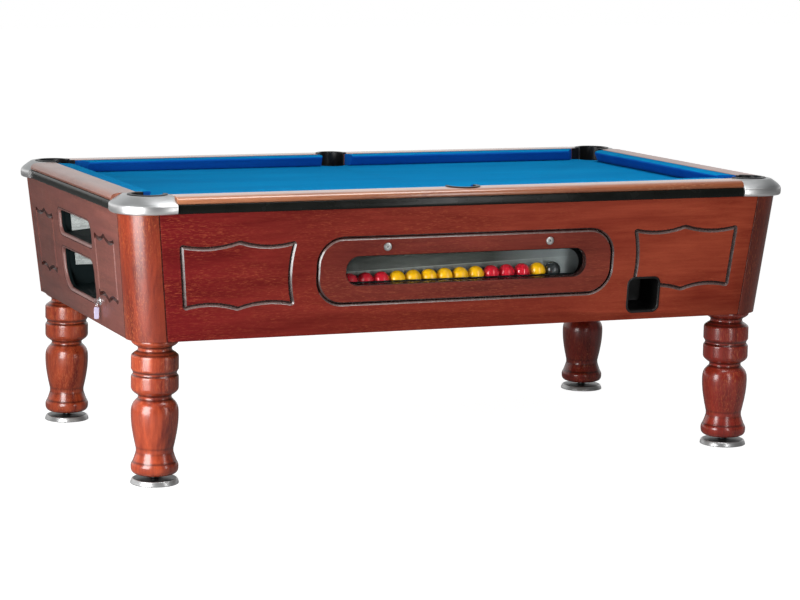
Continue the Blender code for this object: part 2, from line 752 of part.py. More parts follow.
def make_window():
    frame = side_frame("front")
    hinge = Matrix.Translation((0.0, up_slope(WINDOW_Z) - WINDOW_Y + DOOR_GAP, 0.0))
    pane = rounded_rectangle((0.0, up_slope(WINDOW_Z)), (GLASS_X, GLASS_Y), GLASS_Y - 0.004, 6)
    mesh = plate_mesh([window_outline(DOOR_GAP), pane], -PANEL_THICK, 0.0)
    mesh.transform(hinge.inverted())
    door = add_object("window_door", mesh, MAHOGANY, frame @ hinge)
    seat = rounded_rectangle((0.0, up_slope(WINDOW_Z)), (GLASS_X + 0.009, GLASS_Y + 0.009), GLASS_Y, 6)
    glass = plate_mesh([seat], -PANEL_THICK - GAP - 0.004, -PANEL_THICK - GAP)
    add_object("window_glass", glass, GLASS, frame, door)
    for name, side in (("left", -1), ("right", 1)):
        place = Matrix.Translation((side * WINDOW_LOCK_X, up_slope(WINDOW_LOCK_Z), 0.0))
        turn = Matrix.Rotation(0.0 if side < 0 else math.pi, 4, "Z")
        face, pieces = lock_mesh(DOOR_LOCK_TONGUE, 0.010)
        lock = add_object(f"{name}_window_lock", face, CHROME, frame @ place @ turn, door)
        for piece in pieces:
            piece.matrix_world = frame @ place @ turn
            join(lock, piece)
        hole = rod_mesh(BARREL_RADIUS + BARREL_CLEARANCE, -0.05, 0.05, 16)
        cut(door, add_cutter(f"{name}_window_lock_hole", hole, frame @ place))


# Ball tray, runway and balls


def channel_mesh(path, half_width, wall, heights):
    """A U channel along a path of floor points; heights gives its right and left walls at each point."""
    rings = []
    for index, place in enumerate(path):
        before = Vector(path[max(index - 1, 0)][:2])
        after = Vector(path[min(index + 1, len(path) - 1)][:2])
        here = Vector(place[:2])
        into = (here - before).normalized() if index else (after - here).normalized()
        out = (after - here).normalized() if index < len(path) - 1 else into
        way = (into + out).normalized()
        right = Vector((way.y, -way.x)) / max(way.dot(into), 0.2)
        right_wall, left_wall = heights[index]
        section = [
            (half_width + wall, -wall),
            (half_width + wall, right_wall),
            (half_width, right_wall),
            (half_width, 0.0),
            (-half_width, 0.0),
            (-half_width, left_wall),
            (-half_width - wall, left_wall),
            (-half_width - wall, -wall),
        ]
        rings.append([(*(here + right * across), place[2] + up) for across, up in section])
    return loft_mesh(rings)


SHEET = 0.002
TRAY_FLOOR = BALL_RADIUS + GAP
TRAY_RIGHT = 0.42
TRAY_LEFT = -0.47
CHUTE_BEND = (-0.70, -0.300, 0.541)
CHUTE_END = (-0.832, -0.155, 0.534)
RUNWAY_X = 0.950
RUNWAY_Y = 0.518
RUNWAY_HALF = 0.031
RUNWAY_DROP_X = 0.385


def make_ball_return():
    tray_path = [
        (TRAY_RIGHT, TRAY_Y, tray_height(TRAY_RIGHT) - TRAY_FLOOR),
        (TRAY_LEFT, TRAY_Y, tray_height(TRAY_LEFT) - TRAY_FLOOR),
        CHUTE_BEND,
        CHUTE_END,
    ]
    walls = [(0.100, 0.012), (0.100, 0.012), (0.030, 0.030), (0.030, 0.030)]
    tray = channel_mesh(tray_path, BALL_RADIUS + 0.001, SHEET, walls)
    add_object("ball_tray", tray, GALVANISED)
    runway_path = [
        (-RUNWAY_X, -RUNWAY_Y, 0.700),
        (RUNWAY_DROP_X, -RUNWAY_Y, 0.684),
        (RUNWAY_X, -RUNWAY_Y, 0.690),
        (RUNWAY_X, RUNWAY_Y, 0.697),
        (-RUNWAY_X, RUNWAY_Y, 0.711),
    ]
    runway = channel_mesh(runway_path, RUNWAY_HALF, SHEET, [(0.030, 0.030)] * len(runway_path))
    made = add_object("ball_runway", runway, GALVANISED)
    drop = (RUNWAY_DROP_X - 0.03, -RUNWAY_Y - RUNWAY_HALF + 0.002, 0.66)
    drop_end = (RUNWAY_DROP_X + 0.03, -RUNWAY_Y + RUNWAY_HALF - 0.002, 0.70)
    cut(made, add_cutter("runway_drop", box_mesh(drop, drop_end)))


def make_balls():
    """The racked balls lie touching in the tray, so they are one turned row."""
    neck = 12.0  # degrees of each ball lost where it touches the next
    profile = [(0.0, BALL_COUNT * 2 * BALL_RADIUS)]
    for index in range(BALL_COUNT):
        centre = (2 * (BALL_COUNT - index) - 1) * BALL_RADIUS
        first = 90.0 if index == 0 else 90.0 - neck
        last = -90.0 if index == BALL_COUNT - 1 else -90.0 + neck
        points = arc((0.0, centre), BALL_RADIUS, first, last, 5)
        profile += points[1:] if index == 0 else points
    profile[-1] = (0.0, profile[-1][1])
    profile = [point for i, point in enumerate(profile) if i == 0 or point != profile[i - 1]]
    start = FIRST_BALL_X - BALL_RADIUS
    lay = Matrix.Rotation(math.radians(90) - math.atan(TRAY_SLOPE), 4, "Y")
    row = turned("object_balls", profile, 10, BALL_RESIN, (0.0, 0.0, 0.0))
    row.matrix_world = Matrix.Translation((start, TRAY_Y, tray_height(start))) @ lay


GATE_X = FIRST_BALL_X - BALL_RADIUS - 0.003
GATE_PIVOT_RISE = 0.040
GATE_PIN_RADIUS = 0.003


def make_gate():
    """A flap that holds the row back; it hangs on a pin from the tray's back wall."""
    pivot = Vector((GATE_X, TRAY_Y, tray_height(GATE_X) + GATE_PIVOT_RISE))
    half = BALL_RADIUS - 0.003
    flap = box_mesh((-0.002, -half, -GATE_PIVOT_RISE - BALL_RADIUS + 0.006), (0.0, half, 0.001))
    gate = add_object("ball_gate", flap, GALVANISED, Matrix.Translation(pivot))
    pin_frame = Matrix.Translation(pivot) @ Matrix.Rotation(math.radians(-90), 4, "X")
    pin = rod_mesh(GATE_PIN_RADIUS, -half, BALL_RADIUS + 0.001 - GAP, 12)
    join(gate, add_cutter("gate_pin", pin, pin_frame))


def make_cue_ball_cup():
    frame = side_frame("front")
    cup = add_object("cue_ball_cup", plate_mesh([cue_ball_outline(0.003)], -0.110, 0.001), BLACK_PLASTIC, frame)
    join(cup, add_cutter("cup_flange", plate_mesh([cue_ball_outline(0.008)], GAP, 0.002), frame))
    cut(cup, add_cutter("cup_hollow", plate_mesh([cue_ball_outline(0.0)], -0.107, 0.020), frame))


# Coin end: compartments, coin mechanism, lock, key and tag

BOX_FRONT = -(PANEL_THICK + GAP)
BOX_WALL = 0.003
UPPER_DEPTH = 0.150
LOWER_DEPTH = 0.170
COIN_PLACE = (0.050, 0.697)  # middle of the coin slot
SLIDE_HALF = 0.035


def local_box(low, high):
    """A box in the coin end's frame, given in x, floor height and depth behind the panel's face."""
    return box_mesh((low[0], up_slope(low[1]), -high[2]), (high[0], up_slope(high[1]), -low[2]))


def make_compartments():
    frame = side_frame("left_end")
    bottom = LOWER_OPENING[0][1]
    right, top = UPPER_OPENING[1]
    wall = 0.006
    low = (UPPER_OPENING[0][0] - wall, bottom - wall)
    high = (right + wall, top + wall)
    depth = LOWER_DEPTH + BOX_WALL
    block = local_box((*low, -BOX_FRONT), (*high, depth))
    box = add_object("end_compartments", block, GALVANISED, frame)
    hollows = {
        "upper": (UPPER_OPENING, UPPER_DEPTH),
        "lower": (LOWER_OPENING, LOWER_DEPTH),
    }
    for name, (((x0, z0), (x1, z1)), deep) in hollows.items():
        hollow = local_box((x0 - 0.003, z0 - 0.003, -0.05), (x1 + 0.003, z1 + 0.003, deep))
        cut(box, add_cutter(f"{name}_hollow", hollow, frame))
    notch_x = LOWER_OPENING[1][0] + wall
    notch = local_box((notch_x, bottom - 0.05, -0.05), (notch_x + 0.05, LOWER_OPENING[1][1] + wall, 0.30))
    cut(box, add_cutter("lock_notch", notch, frame))
    ball_way = -CHUTE_END[1]
    way_low, way_high = CHUTE_END[2] - 0.004, CHUTE_END[2] + 0.060
    passage = local_box((ball_way - 0.033, way_low, 0.10), (ball_way + 0.033, way_high, 0.30))
    cut(box, add_cutter("ball_passage", passage, frame))
    x, z = COIN_PLACE
    slot = local_box((x - 0.050, z - 0.024, 0.10), (x + 0.050, z + 0.024, 0.30))
    cut(box, add_cutter("coin_passage", slot, frame))


def make_coin_mechanism():
    frame = side_frame("left_end")
    x, z = COIN_PLACE
    plate_front = UPPER_DEPTH - GAP - 0.003
    plate = local_box((x - 0.060, z - 0.031, plate_front), (x + 0.060, z + 0.031, UPPER_DEPTH - GAP))
    body = local_box((x - 0.048, z - 0.022, plate_front + 0.001), (x + 0.048, z + 0.022, 0.300))
    slot = local_box((x - SLIDE_HALF - 0.0008, z - 0.0038, 0.05), (x + SLIDE_HALF + 0.0008, z + 0.0038, 0.295))
    mechanism = add_object("coin_mechanism", plate, CHROME, frame)
    join(mechanism, add_cutter("coin_body", body, frame))
    cut(mechanism, add_cutter("coin_slot", slot, frame))
    tongue = local_box((x - SLIDE_HALF, z - 0.003, 0.104), (x + SLIDE_HALF, z + 0.003, 0.250))
    handle = local_box((x - 0.040, z - 0.011, 0.098), (x + 0.040, z + 0.011, 0.106))
    slide = add_object("coin_slide", tongue, CHROME, frame)
    join(slide, add_cutter("slide_handle", handle, frame))
    for index, across in enumerate((-0.017, 0.017)):
        coin_hole = rod_mesh(0.012, -0.02, 0.02, 14)
        place = Matrix.Translation((x + across, up_slope(z), -0.130)) @ Matrix.Rotation(math.radians(90), 4, "X")
        cut(slide, add_cutter(f"coin_hole_{index}", coin_hole, frame @ place))


KEY_BORE = 0.0055
PLUG_RADIUS = 0.005
KEY_REACH = 0.019
KEY_HOLE = (-0.0035, 0.0125)  # in the key's bow: below the axis, and out from the panel
TAG_SIZE = (0.015, 0.036, 0.0015)
RING_RADIUS = 0.0065


def make_end_lock():
    frame = side_frame("left_end") @ Matrix.Translation((END_LOCK_PLACE[0], up_slope(END_LOCK_PLACE[1]), 0.0))
    rear = -(PANEL_THICK + 0.004)
    lock = add_object("end_lock", rod_mesh(0.0125, GAP, 0.0035, 16), CHROME, frame)
    join(lock, add_cutter("end_barrel", rod_mesh(BARREL_RADIUS, rear, 0.002, 16), frame))
    cut(lock, add_cutter("end_lock_bore", rod_mesh(KEY_BORE, -0.08, 0.05, 16), frame))
    key = add_object("lock_key", rod_mesh(PLUG_RADIUS, rear - 0.005, 0.0085, 12), CHROME, frame)
    bow = add_cutter("key_bow", box_mesh((-0.001, -0.0095, 0.006), (0.001, 0.0095, KEY_REACH)), frame)
    cam_tongue = box_mesh((0.0, -0.005, rear - 0.0045), (0.034, 0.005, rear - 0.0015))
    join(key, bow)
    join(key, add_cutter("key_cam", cam_tongue, frame))
    hole = frame @ Matrix.Translation((0.0, *KEY_HOLE))
    across = hole @ Matrix.Rotation(math.radians(90), 4, "Y")
    cut(key, add_cutter("key_hole", rod_mesh(0.003, -0.01, 0.01, 12), across))
    upright = Matrix.Translation(hole.translation) @ Matrix.Rotation(math.radians(-90), 4, "Z")
    ring = bpy.data.curves.new("key_ring", "CURVE")
    ring.dimensions = "3D"
    ring.bevel_depth = 0.0008
    ring.bevel_resolution = 0
    poly_splines(ring, [arc((0.0, 0.0), RING_RADIUS, 90.0, 430.0, 17)])
    ring_mesh = curve_mesh(ring)
    ring_mesh.transform(Matrix.Translation((0.0, 0.0, -RING_RADIUS)) @ Matrix.Rotation(math.radians(90), 4, "X"))
    width, height, thick = TAG_SIZE
    tag_top = -2 * RING_RADIUS + 0.001
    tag = box_mesh((-thick / 2, -width / 2, tag_top - height), (thick / 2, width / 2, tag_top))
    tag_object = add_object("key_tag", tag, TAG_PLASTIC, upright)
    join(tag_object, add_cutter("key_ring", ring_mesh, upright))


make_bed()
make_rails()
make_castings()
make_liners()
make_panels()
make_posts()
make_carcass()
make_legs()
make_window()
make_ball_return()
make_balls()
make_gate()
make_cue_ball_cup()
make_compartments()
make_coin_mechanism()
make_end_lock()
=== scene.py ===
import json
import math

import bmesh
import bpy
from mathutils import Matrix, Vector

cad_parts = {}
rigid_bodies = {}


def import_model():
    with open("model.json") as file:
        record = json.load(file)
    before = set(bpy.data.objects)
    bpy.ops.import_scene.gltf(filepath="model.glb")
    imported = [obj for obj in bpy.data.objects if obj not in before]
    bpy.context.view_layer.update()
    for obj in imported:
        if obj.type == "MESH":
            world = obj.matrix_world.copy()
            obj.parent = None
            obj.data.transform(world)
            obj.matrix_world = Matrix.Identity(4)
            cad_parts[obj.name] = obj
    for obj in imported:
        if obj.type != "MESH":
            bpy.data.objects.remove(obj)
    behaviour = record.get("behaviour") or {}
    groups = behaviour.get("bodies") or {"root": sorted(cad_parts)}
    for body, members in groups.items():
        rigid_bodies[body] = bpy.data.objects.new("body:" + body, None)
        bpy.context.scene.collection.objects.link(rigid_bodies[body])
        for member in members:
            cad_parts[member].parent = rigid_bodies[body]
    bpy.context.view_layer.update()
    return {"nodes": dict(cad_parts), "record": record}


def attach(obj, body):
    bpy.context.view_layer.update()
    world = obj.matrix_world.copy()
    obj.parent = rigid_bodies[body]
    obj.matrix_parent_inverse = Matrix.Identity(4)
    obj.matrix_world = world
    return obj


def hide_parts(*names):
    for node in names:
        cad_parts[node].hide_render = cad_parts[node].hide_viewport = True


for leftover in list(bpy.data.objects):
    bpy.data.objects.remove(leftover, do_unlink=True)
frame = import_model()
nodes = frame["nodes"]
bodyOf = {node: body for body, members in frame["record"]["behaviour"]["bodies"].items() for node in members}
stage = bpy.context.scene
print("frame loaded:", len(nodes), "nodes")

# sizes that several pieces share, in metres, the same as the solids'
table = {
    "bandX": 1.065, "bandY": 0.620, "bandLow": 0.7975, "railTop": 0.8465, "railWood": 0.085, "nose": 0.137,
    "topX": 1.0595, "topY": 0.6145, "footX": 1.0225, "footY": 0.5775, "low": 0.425, "high": 0.797,
    "panel": 0.020, "post": 0.095, "gap": 0.0003, "slateLow": 0.7863, "bed": 0.8076,
    "wellLow": 0.75, "wellHigh": 0.90, "through": 0.03, "arm": 0.155,
}
lean = math.atan2(table["topX"] - table["footX"], table["high"] - table["low"])
corners = {"front_left": (-1, -1), "front_right": (1, -1), "back_right": (1, 1), "back_left": (-1, 1)}
sideTurn = {"front": 0.0, "right_end": 90.0, "back": 180.0, "left_end": -90.0}
longSides = ("front", "back")
pockets = {name: (sx * 0.972, sy * 0.527, 0.0495) for name, (sx, sy) in corners.items()}
pockets["front_middle"] = (0.0, -0.545, 0.0435)
pockets["back_middle"] = (0.0, 0.545, 0.0435)


def link(name, data):
    made = bpy.data.objects.new(name, data)
    stage.collection.objects.link(made)
    return made


# camera, fitted to the picture
cameraSettings = {
    "place": (-3.0008, -7.2333, 1.6079), "yaw": 0.34376, "pitch": 0.12432, "roll": 0.00941,
    "lens": 111.27, "shift": (0.1625, -0.08125),
}


def addCamera(c):
    made = link("camera", bpy.data.cameras.new("camera"))
    turn = Matrix.Rotation(-c["yaw"], 4, "Z") @ Matrix.Rotation(math.pi / 2 - c["pitch"], 4, "X")
    made.matrix_world = Matrix.Translation(c["place"]) @ turn @ Matrix.Rotation(c["roll"], 4, "Z")
    made.data.sensor_width = 36.0
    made.data.lens = c["lens"]
    made.data.shift_x, made.data.shift_y = c["shift"]
    made.data.clip_end = 100.0
    stage.camera = made


addCamera(cameraSettings)
print("camera ready")


# node helpers: a value is a constant or a socket to link from, a colour goes without its alpha
def fill(node, values):
    for name, value in values.items():
        socket = node.inputs[name]
        if isinstance(value, bpy.types.NodeSocket):
            node.id_data.links.new(value, socket)
        else:
            socket.default_value = (*value, 1.0) if socket.type == "RGBA" else value


def put(tree, kind, values=None, **settings):
    made = tree.nodes.new(kind)
    for key, value in settings.items():
        setattr(made, key, value)
    fill(made, values or {})
    return made


def out(tree, kind, values=None, **settings):
    return put(tree, kind, values, **settings).outputs[0]


def calc(way, a, b=0.0):
    return out(a.id_data, "ShaderNodeMath", {0: a, 1: b}, operation=way)


def times(a, b):
    return calc("MULTIPLY", a, b)


def plus(a, b):
    return calc("ADD", a, b)


def minus(a, b):
    return calc("SUBTRACT", a, b)


def spread(value, low, high, start=0.0, end=1.0):
    return out(value.id_data, "ShaderNodeMapRange", {0: value, 1: low, 2: high, 3: start, 4: end})


def blend(share, a, b):
    return put(share.id_data, "ShaderNodeMix", {0: share, 6: a, 7: b}, data_type="RGBA").outputs[2]


def noise(vector, scale, detail=2.0, rough=0.5, distort=0.0):
    values = {"Vector": vector, "Scale": scale, "Detail": detail, "Roughness": rough, "Distortion": distort}
    return out(vector.id_data, "ShaderNodeTexNoise", values)


def stretch(vector, factors):
    return out(vector.id_data, "ShaderNodeVectorMath", {0: vector, 1: factors}, operation="MULTIPLY")


def axesOf(vector):
    return put(vector.id_data, "ShaderNodeSeparateXYZ", {0: vector}).outputs


# effects that several finishes share, as node groups
def newGroup(name, takes):
    tree = bpy.data.node_groups.new(name, "ShaderNodeTree")
    for label, kind in takes.items():
        tree.interface.new_socket(label, in_out="INPUT", socket_type="NodeSocket" + kind)
    return tree, tree.nodes.new("NodeGroupInput").outputs


def endGroup(tree, results):
    for label in results:
        tree.interface.new_socket(label, in_out="OUTPUT", socket_type="NodeSocketFloat")
    put(tree, "NodeGroupOutput", results)
    return tree


def use(group, vector, **values):
    return put(vector.id_data, "ShaderNodeGroup", {"Vector": vector, **values}, node_tree=group).outputs


def grainGroup():
    # ribbon figure, light flecks and open pores, all drawn out along the vector's X
    tree, takes = newGroup("woodGrain", {"Vector": "Vector", "Size": "Float"})
    sized = out(tree, "ShaderNodeVectorMath", {0: takes["Vector"], 3: takes["Size"]}, operation="SCALE")
    broad = noise(stretch(sized, (1.1, 9.0, 9.0)), 1.6, 3.0, 0.55, 0.8)
    ribbon = noise(stretch(sized, (5.0, 70.0, 70.0)), 1.5, 4.0, 0.6, 0.3)
    fleck = noise(stretch(sized, (62.0, 430.0, 430.0)), 1.0, 3.0, 0.65, 0.5)
    patch = noise(stretch(sized, (4.0, 11.0, 11.0)), 1.0, 2.0)
    pore = noise(stretch(sized, (95.0, 1500.0, 1500.0)), 1.0, 2.0, 0.7)
    return endGroup(tree, {
        "Tone": spread(plus(times(broad, 0.62), times(ribbon, 0.38)), 0.34, 0.66),
        "Fleck": times(spread(fleck, 0.52, 0.70), spread(patch, 0.36, 0.62)),
        "Pore": spread(pore, 0.58, 0.72),
    })


def wearGroup():
    # rubbed patches and short scratches
    tree, takes = newGroup("handlingWear", {"Vector": "Vector"})
    cloudy = noise(takes["Vector"], 7.0, 4.0, 0.65)
    lines = noise(stretch(takes["Vector"], (260.0, 34.0, 420.0)), 1.0, 2.0, 0.6, 1.2)
    return endGroup(tree, {"Rub": spread(cloudy, 0.35, 0.70), "Scratch": spread(lines, 0.66, 0.74)})


def weaveGroup():
    # plain weave under a short nap; Threads is how many a metre
    tree, takes = newGroup("napWeave", {"Vector": "Vector", "Threads": "Float"})
    turns = times(takes["Threads"], math.pi)
    rows = [calc("SINE", times(part, turns)) for part in axesOf(takes["Vector"])]
    crossing = times(plus(rows[0], rows[2]), plus(rows[1], rows[2]))
    nap = noise(takes["Vector"], 900.0, 3.0, 0.7)
    brushed = noise(stretch(takes["Vector"], (2.2, 9.0, 9.0)), 1.0, 3.0, 0.6)
    return endGroup(tree, {"Tone": spread(brushed, 0.3, 0.7), "Height": plus(nap, times(crossing, 0.16))})


def spangleGroup():
    # zinc crystals and rolling streaks
    tree, takes = newGroup("zincSpangle", {"Vector": "Vector", "Size": "Float"})
    warped = noise(takes["Vector"], 25.0, 2.0)
    bent = out(tree, "ShaderNodeVectorMath", {0: takes["Vector"], 1: (0.01, 0.01, 0.01), 2: warped},
               operation="MULTIPLY_ADD")
    cell = put(tree, "ShaderNodeTexVoronoi", {"Vector": bent, "Scale": takes["Size"]}).outputs["Color"]
    streak = noise(stretch(takes["Vector"], (18.0, 18.0, 160.0)), 1.0, 4.0, 0.65, 0.8)
    return endGroup(tree, {
        "Crystal": out(tree, "ShaderNodeSeparateColor", {0: cell}),
        "Streak": spread(streak, 0.35, 0.68),
    })


woodGrain = grainGroup()
handlingWear = wearGroup()
napWeave = weaveGroup()
zincSpangle = spangleGroup()


def newFinish(name):
    made = bpy.data.materials.new(name)
    made.use_nodes = True
    return made, put(made.node_tree, "ShaderNodeTexCoord").outputs["Object"]


def endFinish(made, colour, rough, constants, bump=None):
    # bump is (height, distance, strength)
    values = {"Base Color": colour, "Roughness": rough, **constants}
    if bump:
        raised = put(made.node_tree, "ShaderNodeBump", dict(zip(("Height", "Distance", "Strength"), bump)))
        values["Normal"] = raised.outputs[0]
    fill(made.node_tree.nodes["Principled BSDF"], values)
    return made


def rubbedAndShaded(wear, low, high, scratch):
    # roughness of a handled surface
    return plus(spread(wear["Rub"], 0.0, 1.0, low, high), times(wear["Scratch"], scratch))


grainTurn = {"X": (0.0, 0.0, 0.0), "Y": (0.0, 0.0, math.pi / 2), "Z": (0.0, math.pi / 2, 0.0)}
poreTone = (0.030, 0.006, 0.004)
# colour of the stain and painted shade in the creases of the legs
creaseStainAndShadeTone = (0.030, 0.005, 0.0035)


def woodFinish(name, axis, tones, rough, level, coat=(0.0, 0.15), pores=0.35, creaseStainAndShade=False, far=None):
    made, place = newFinish(name)
    dark, light, fleck = tones
    turned = out(made.node_tree, "ShaderNodeMapping", {"Vector": place, "Rotation": grainTurn[axis]})
    grain = use(woodGrain, turned, Size=1.0)
    colour = blend(grain["Tone"], dark, light)
    if far:  # painted light and shade: the wood runs from dark red on the left to another tone on the right, as the light falls across the table
        colour = blend(spread(axesOf(place)[0], -0.9, 0.9), colour, blend(grain["Tone"], *far))
    colour = blend(times(grain["Fleck"], 0.7), colour, fleck)
    colour = blend(times(grain["Pore"], pores), colour, poreTone)
    if creaseStainAndShade:  # stain and painted shade: darker in the creases, where the turner's stain lies and where shade falls
        stainAndShadeInCreases = put(made.node_tree, "ShaderNodeAttribute", attribute_name="stainAndShadeInCreases").outputs["Fac"]
        colour = blend(stainAndShadeInCreases, colour, creaseStainAndShadeTone)
    gloss = rubbedAndShaded(use(handlingWear, place), rough - 0.05, rough + 0.07, 0.08)
    constants = {"Specular IOR Level": level, "Coat IOR": 1.6}
    constants.update({"Coat Weight": coat[0], "Coat Roughness": coat[1]})
    return endFinish(made, colour, gloss, constants, (times(grain["Pore"], -1.0), 0.0003, 0.35))


# dark, light and fleck; then dark and light of the right-hand end, painted lighter on the panels and door and
# darker on the legs and rails as the light falls
panelTones = ((0.098, 0.0055, 0.0066), (0.190, 0.0135, 0.0148), (0.42, 0.090, 0.040))
rightPanelPaintedLight = ((0.245, 0.030, 0.0155), (0.455, 0.083, 0.040))
doorTones = ((0.092, 0.0095, 0.0080), (0.205, 0.0245, 0.0190), (0.38, 0.095, 0.046))
rightDoorPaintedLight = ((0.130, 0.020, 0.0130), (0.280, 0.053, 0.031))
endWoodAndSheenTones = ((0.096, 0.028, 0.022), (0.185, 0.055, 0.043), (0.28, 0.11, 0.065))
bevelSheenTones = ((0.120, 0.046, 0.040), (0.205, 0.092, 0.080), (0.30, 0.15, 0.12))
postTones = ((0.070, 0.0048, 0.0023), (0.250, 0.031, 0.0095), (0.58, 0.155, 0.04))
legTones = ((0.132, 0.0100, 0.0042), (0.490, 0.076, 0.0250), (0.66, 0.190, 0.062))
rightLegPaintedShade = ((0.120, 0.0050, 0.0036), (0.375, 0.0290, 0.0150))
railTones = ((0.26, 0.075, 0.032), (0.50, 0.200, 0.095), (0.56, 0.27, 0.13))
rightRailPaintedShade = ((0.17, 0.038, 0.014), (0.36, 0.108, 0.040))
endRailTones = ((0.130, 0.034, 0.019), (0.270, 0.092, 0.056), (0.36, 0.16, 0.09))
longPanelWood = woodFinish("longPanelWood", "X", panelTones, 0.42, 0.06, far=rightPanelPaintedLight)
doorWood = woodFinish("doorWood", "X", doorTones, 0.40, 0.12, far=rightDoorPaintedLight)
# the end veneer is greyer than the long panels' wood, partly its own tone and partly a painted sheen from the
# glancing light
endPanelWood = woodFinish("endPanelWood", "Y", endWoodAndSheenTones, 0.40, 0.5)
# painted sheen: a paler copy of the end veneer for the rounded edges of the end openings
bevelSheenWood = woodFinish("bevelSheenWood", "Y", bevelSheenTones, 0.36, 0.5)
postWood = woodFinish("postWood", "Z", postTones, 0.42, 0.06, (0.88, 0.25), 0.9)
legWood = woodFinish("legWood", "Z", legTones, 0.40, 0.06, (1.0, 0.23), 0.5, creaseStainAndShade=True, far=rightLegPaintedShade)
longRailWood = woodFinish("longRailWood", "X", railTones, 0.34, 0.15, (1.0, 0.20), far=rightRailPaintedShade)
endRailWood = woodFinish("endRailWood", "Y", endRailTones, 0.42, 0.20, (0.85, 0.30))


def stainFinish(name, low, high, level):
    made, place = newFinish(name)
    patch = noise(place, 60.0, 3.0, 0.6)
    return endFinish(made, blend(patch, low, high), spread(patch, 0.3, 0.7, 0.20, 0.32),
                     {"Specular IOR Level": level}, (noise(place, 260.0), 0.0001, 0.2))


def clothFinish(name, low, high, dust):
    made, place = newFinish(name)
    weave = use(napWeave, place, Threads=1100.0)
    dusty = spread(noise(place, 3.0, 4.0, 0.6), 0.55, 0.85, 0.0, 0.16)
    colour = blend(dusty, blend(weave["Tone"], low, high), dust)
    constants = {"Specular IOR Level": 0.02, "Sheen Weight": 0.012, "Sheen Roughness": 0.5,
                 "Sheen Tint": (0.45, 0.75, 1.0)}
    return endFinish(made, colour, spread(weave["Height"], 0.2, 0.8, 0.82, 0.98), constants,
                     (weave["Height"], 0.0006, 0.55))


def plasticFinish(name, tone, rough, level, grit):
    made, place = newFinish(name)
    wear = use(handlingWear, place)
    paler = tuple(min(1.0, value * 1.5 + 0.003) for value in tone)
    return endFinish(made, blend(times(wear["Rub"], 0.6), tone, paler),
                     spread(wear["Rub"], 0.0, 1.0, rough - 0.05, rough + 0.09),
                     {"Specular IOR Level": level}, (noise(place, grit, 3.0, 0.6), 0.0003, 0.3))


def castFinish():
    # satin slope above, polished edge below, told apart by height
    made, place = newFinish("castAluminium")
    wear = use(handlingWear, place)
    satin = spread(axesOf(place)[2], table["bandLow"] + 0.022, table["bandLow"] + 0.027)
    bright = blend(wear["Rub"], (0.78, 0.78, 0.78), (0.85, 0.85, 0.85))
    dull = blend(wear["Rub"], (0.42, 0.43, 0.435), (0.49, 0.50, 0.505))
    gloss = plus(spread(satin, 0.0, 1.0, 0.38, 0.44), times(wear["Scratch"], 0.10))
    sand = times(noise(place, 1300.0, 3.0, 0.7), satin)
    return endFinish(made, blend(satin, bright, dull), gloss, {"Metallic": 1.0}, (sand, 0.0003, 0.35))


def metalFinish(name, low, high, rough, grit, metal=1.0):
    made, place = newFinish(name)
    wear = use(handlingWear, place)
    return endFinish(made, blend(wear["Rub"], low, high), rubbedAndShaded(wear, rough, rough + 0.10, 0.15),
                     {"Metallic": metal}, (noise(place, grit, 2.0, 0.6), 0.0002, 0.2))


def zincFinish():
    made, place = newFinish("zincSheet")
    zinc = use(zincSpangle, place, Size=85.0)
    share = plus(times(zinc["Crystal"], 0.5), times(zinc["Streak"], 0.5))
    return endFinish(made, blend(share, (0.34, 0.37, 0.36), (0.86, 0.90, 0.88)),
                     spread(zinc["Crystal"], 0.0, 1.0, 0.34, 0.55), {"Metallic": 0.45},
                     (noise(place, 26.0, 3.0, 0.6), 0.006, 0.5))


# the painted sheet behind the balls: where its fold runs; a painted reflection pales it towards the right,
# and painted shade makes its right end black with a round edge
traySettings = {
    "foldHeight": 0.6072, "foldSlope": 0.0294, "foldTone": (0.27, 0.29, 0.27),
    "upper": ((0.016, 0.021, 0.016), (0.032, 0.039, 0.032)),
    "lower": ((0.082, 0.086, 0.076), (0.130, 0.135, 0.122)),
    "right": (0.12, 0.42, 0.8), "paintedReflectionTone": (0.52, 0.57, 0.59),
    "endX": 0.364, "endZ": 0.600, "endRound": (0.0425, 0.0440), "paintedShadeTone": (0.004, 0.006, 0.007),
}


def trayFinish(p):
    made, place = newFinish("traySheet")
    zinc = use(zincSpangle, place, Size=60.0)
    x, _, z = axesOf(place)
    above = minus(z, plus(times(x, p["foldSlope"]), p["foldHeight"]))
    upper, lower = (blend(zinc["Streak"], *p[key]) for key in ("upper", "lower"))
    colour = blend(spread(above, -0.0008, 0.0008), lower, upper)
    fold = spread(calc("ABSOLUTE", above), 0.0006, 0.0016, 1.0, 0.0)
    colour = blend(times(fold, 0.7), colour, p["foldTone"])
    # painted reflection: paler towards the right
    start, end, most = p["right"]
    colour = blend(spread(x, start, end, 0.0, most), colour, p["paintedReflectionTone"])
    # painted shade: black at the right end, inside a round edge
    across, upward = minus(x, p["endX"]), minus(z, p["endZ"])
    span = calc("SQRT", plus(times(across, across), times(upward, upward)))
    colour = blend(times(spread(span, *p["endRound"]), spread(across, 0.0, 0.001)), colour, p["paintedShadeTone"])
    return endFinish(made, colour, spread(zinc["Crystal"], 0.0, 1.0, 0.36, 0.52), {"Metallic": 0.15},
                     (noise(place, 26.0, 3.0, 0.6), 0.003, 0.3))


def stoneFinish():
    made, place = newFinish("sawnSlate")
    bed = noise(stretch(place, (3.0, 3.0, 60.0)), 4.0, 6.0, 0.65)
    colour = blend(bed, (0.045, 0.050, 0.056), (0.12, 0.13, 0.14))
    bump = (noise(place, 240.0, 4.0, 0.7), 0.0006, 0.5)
    return endFinish(made, colour, spread(bed, 0.3, 0.7, 0.6, 0.85), {}, bump)


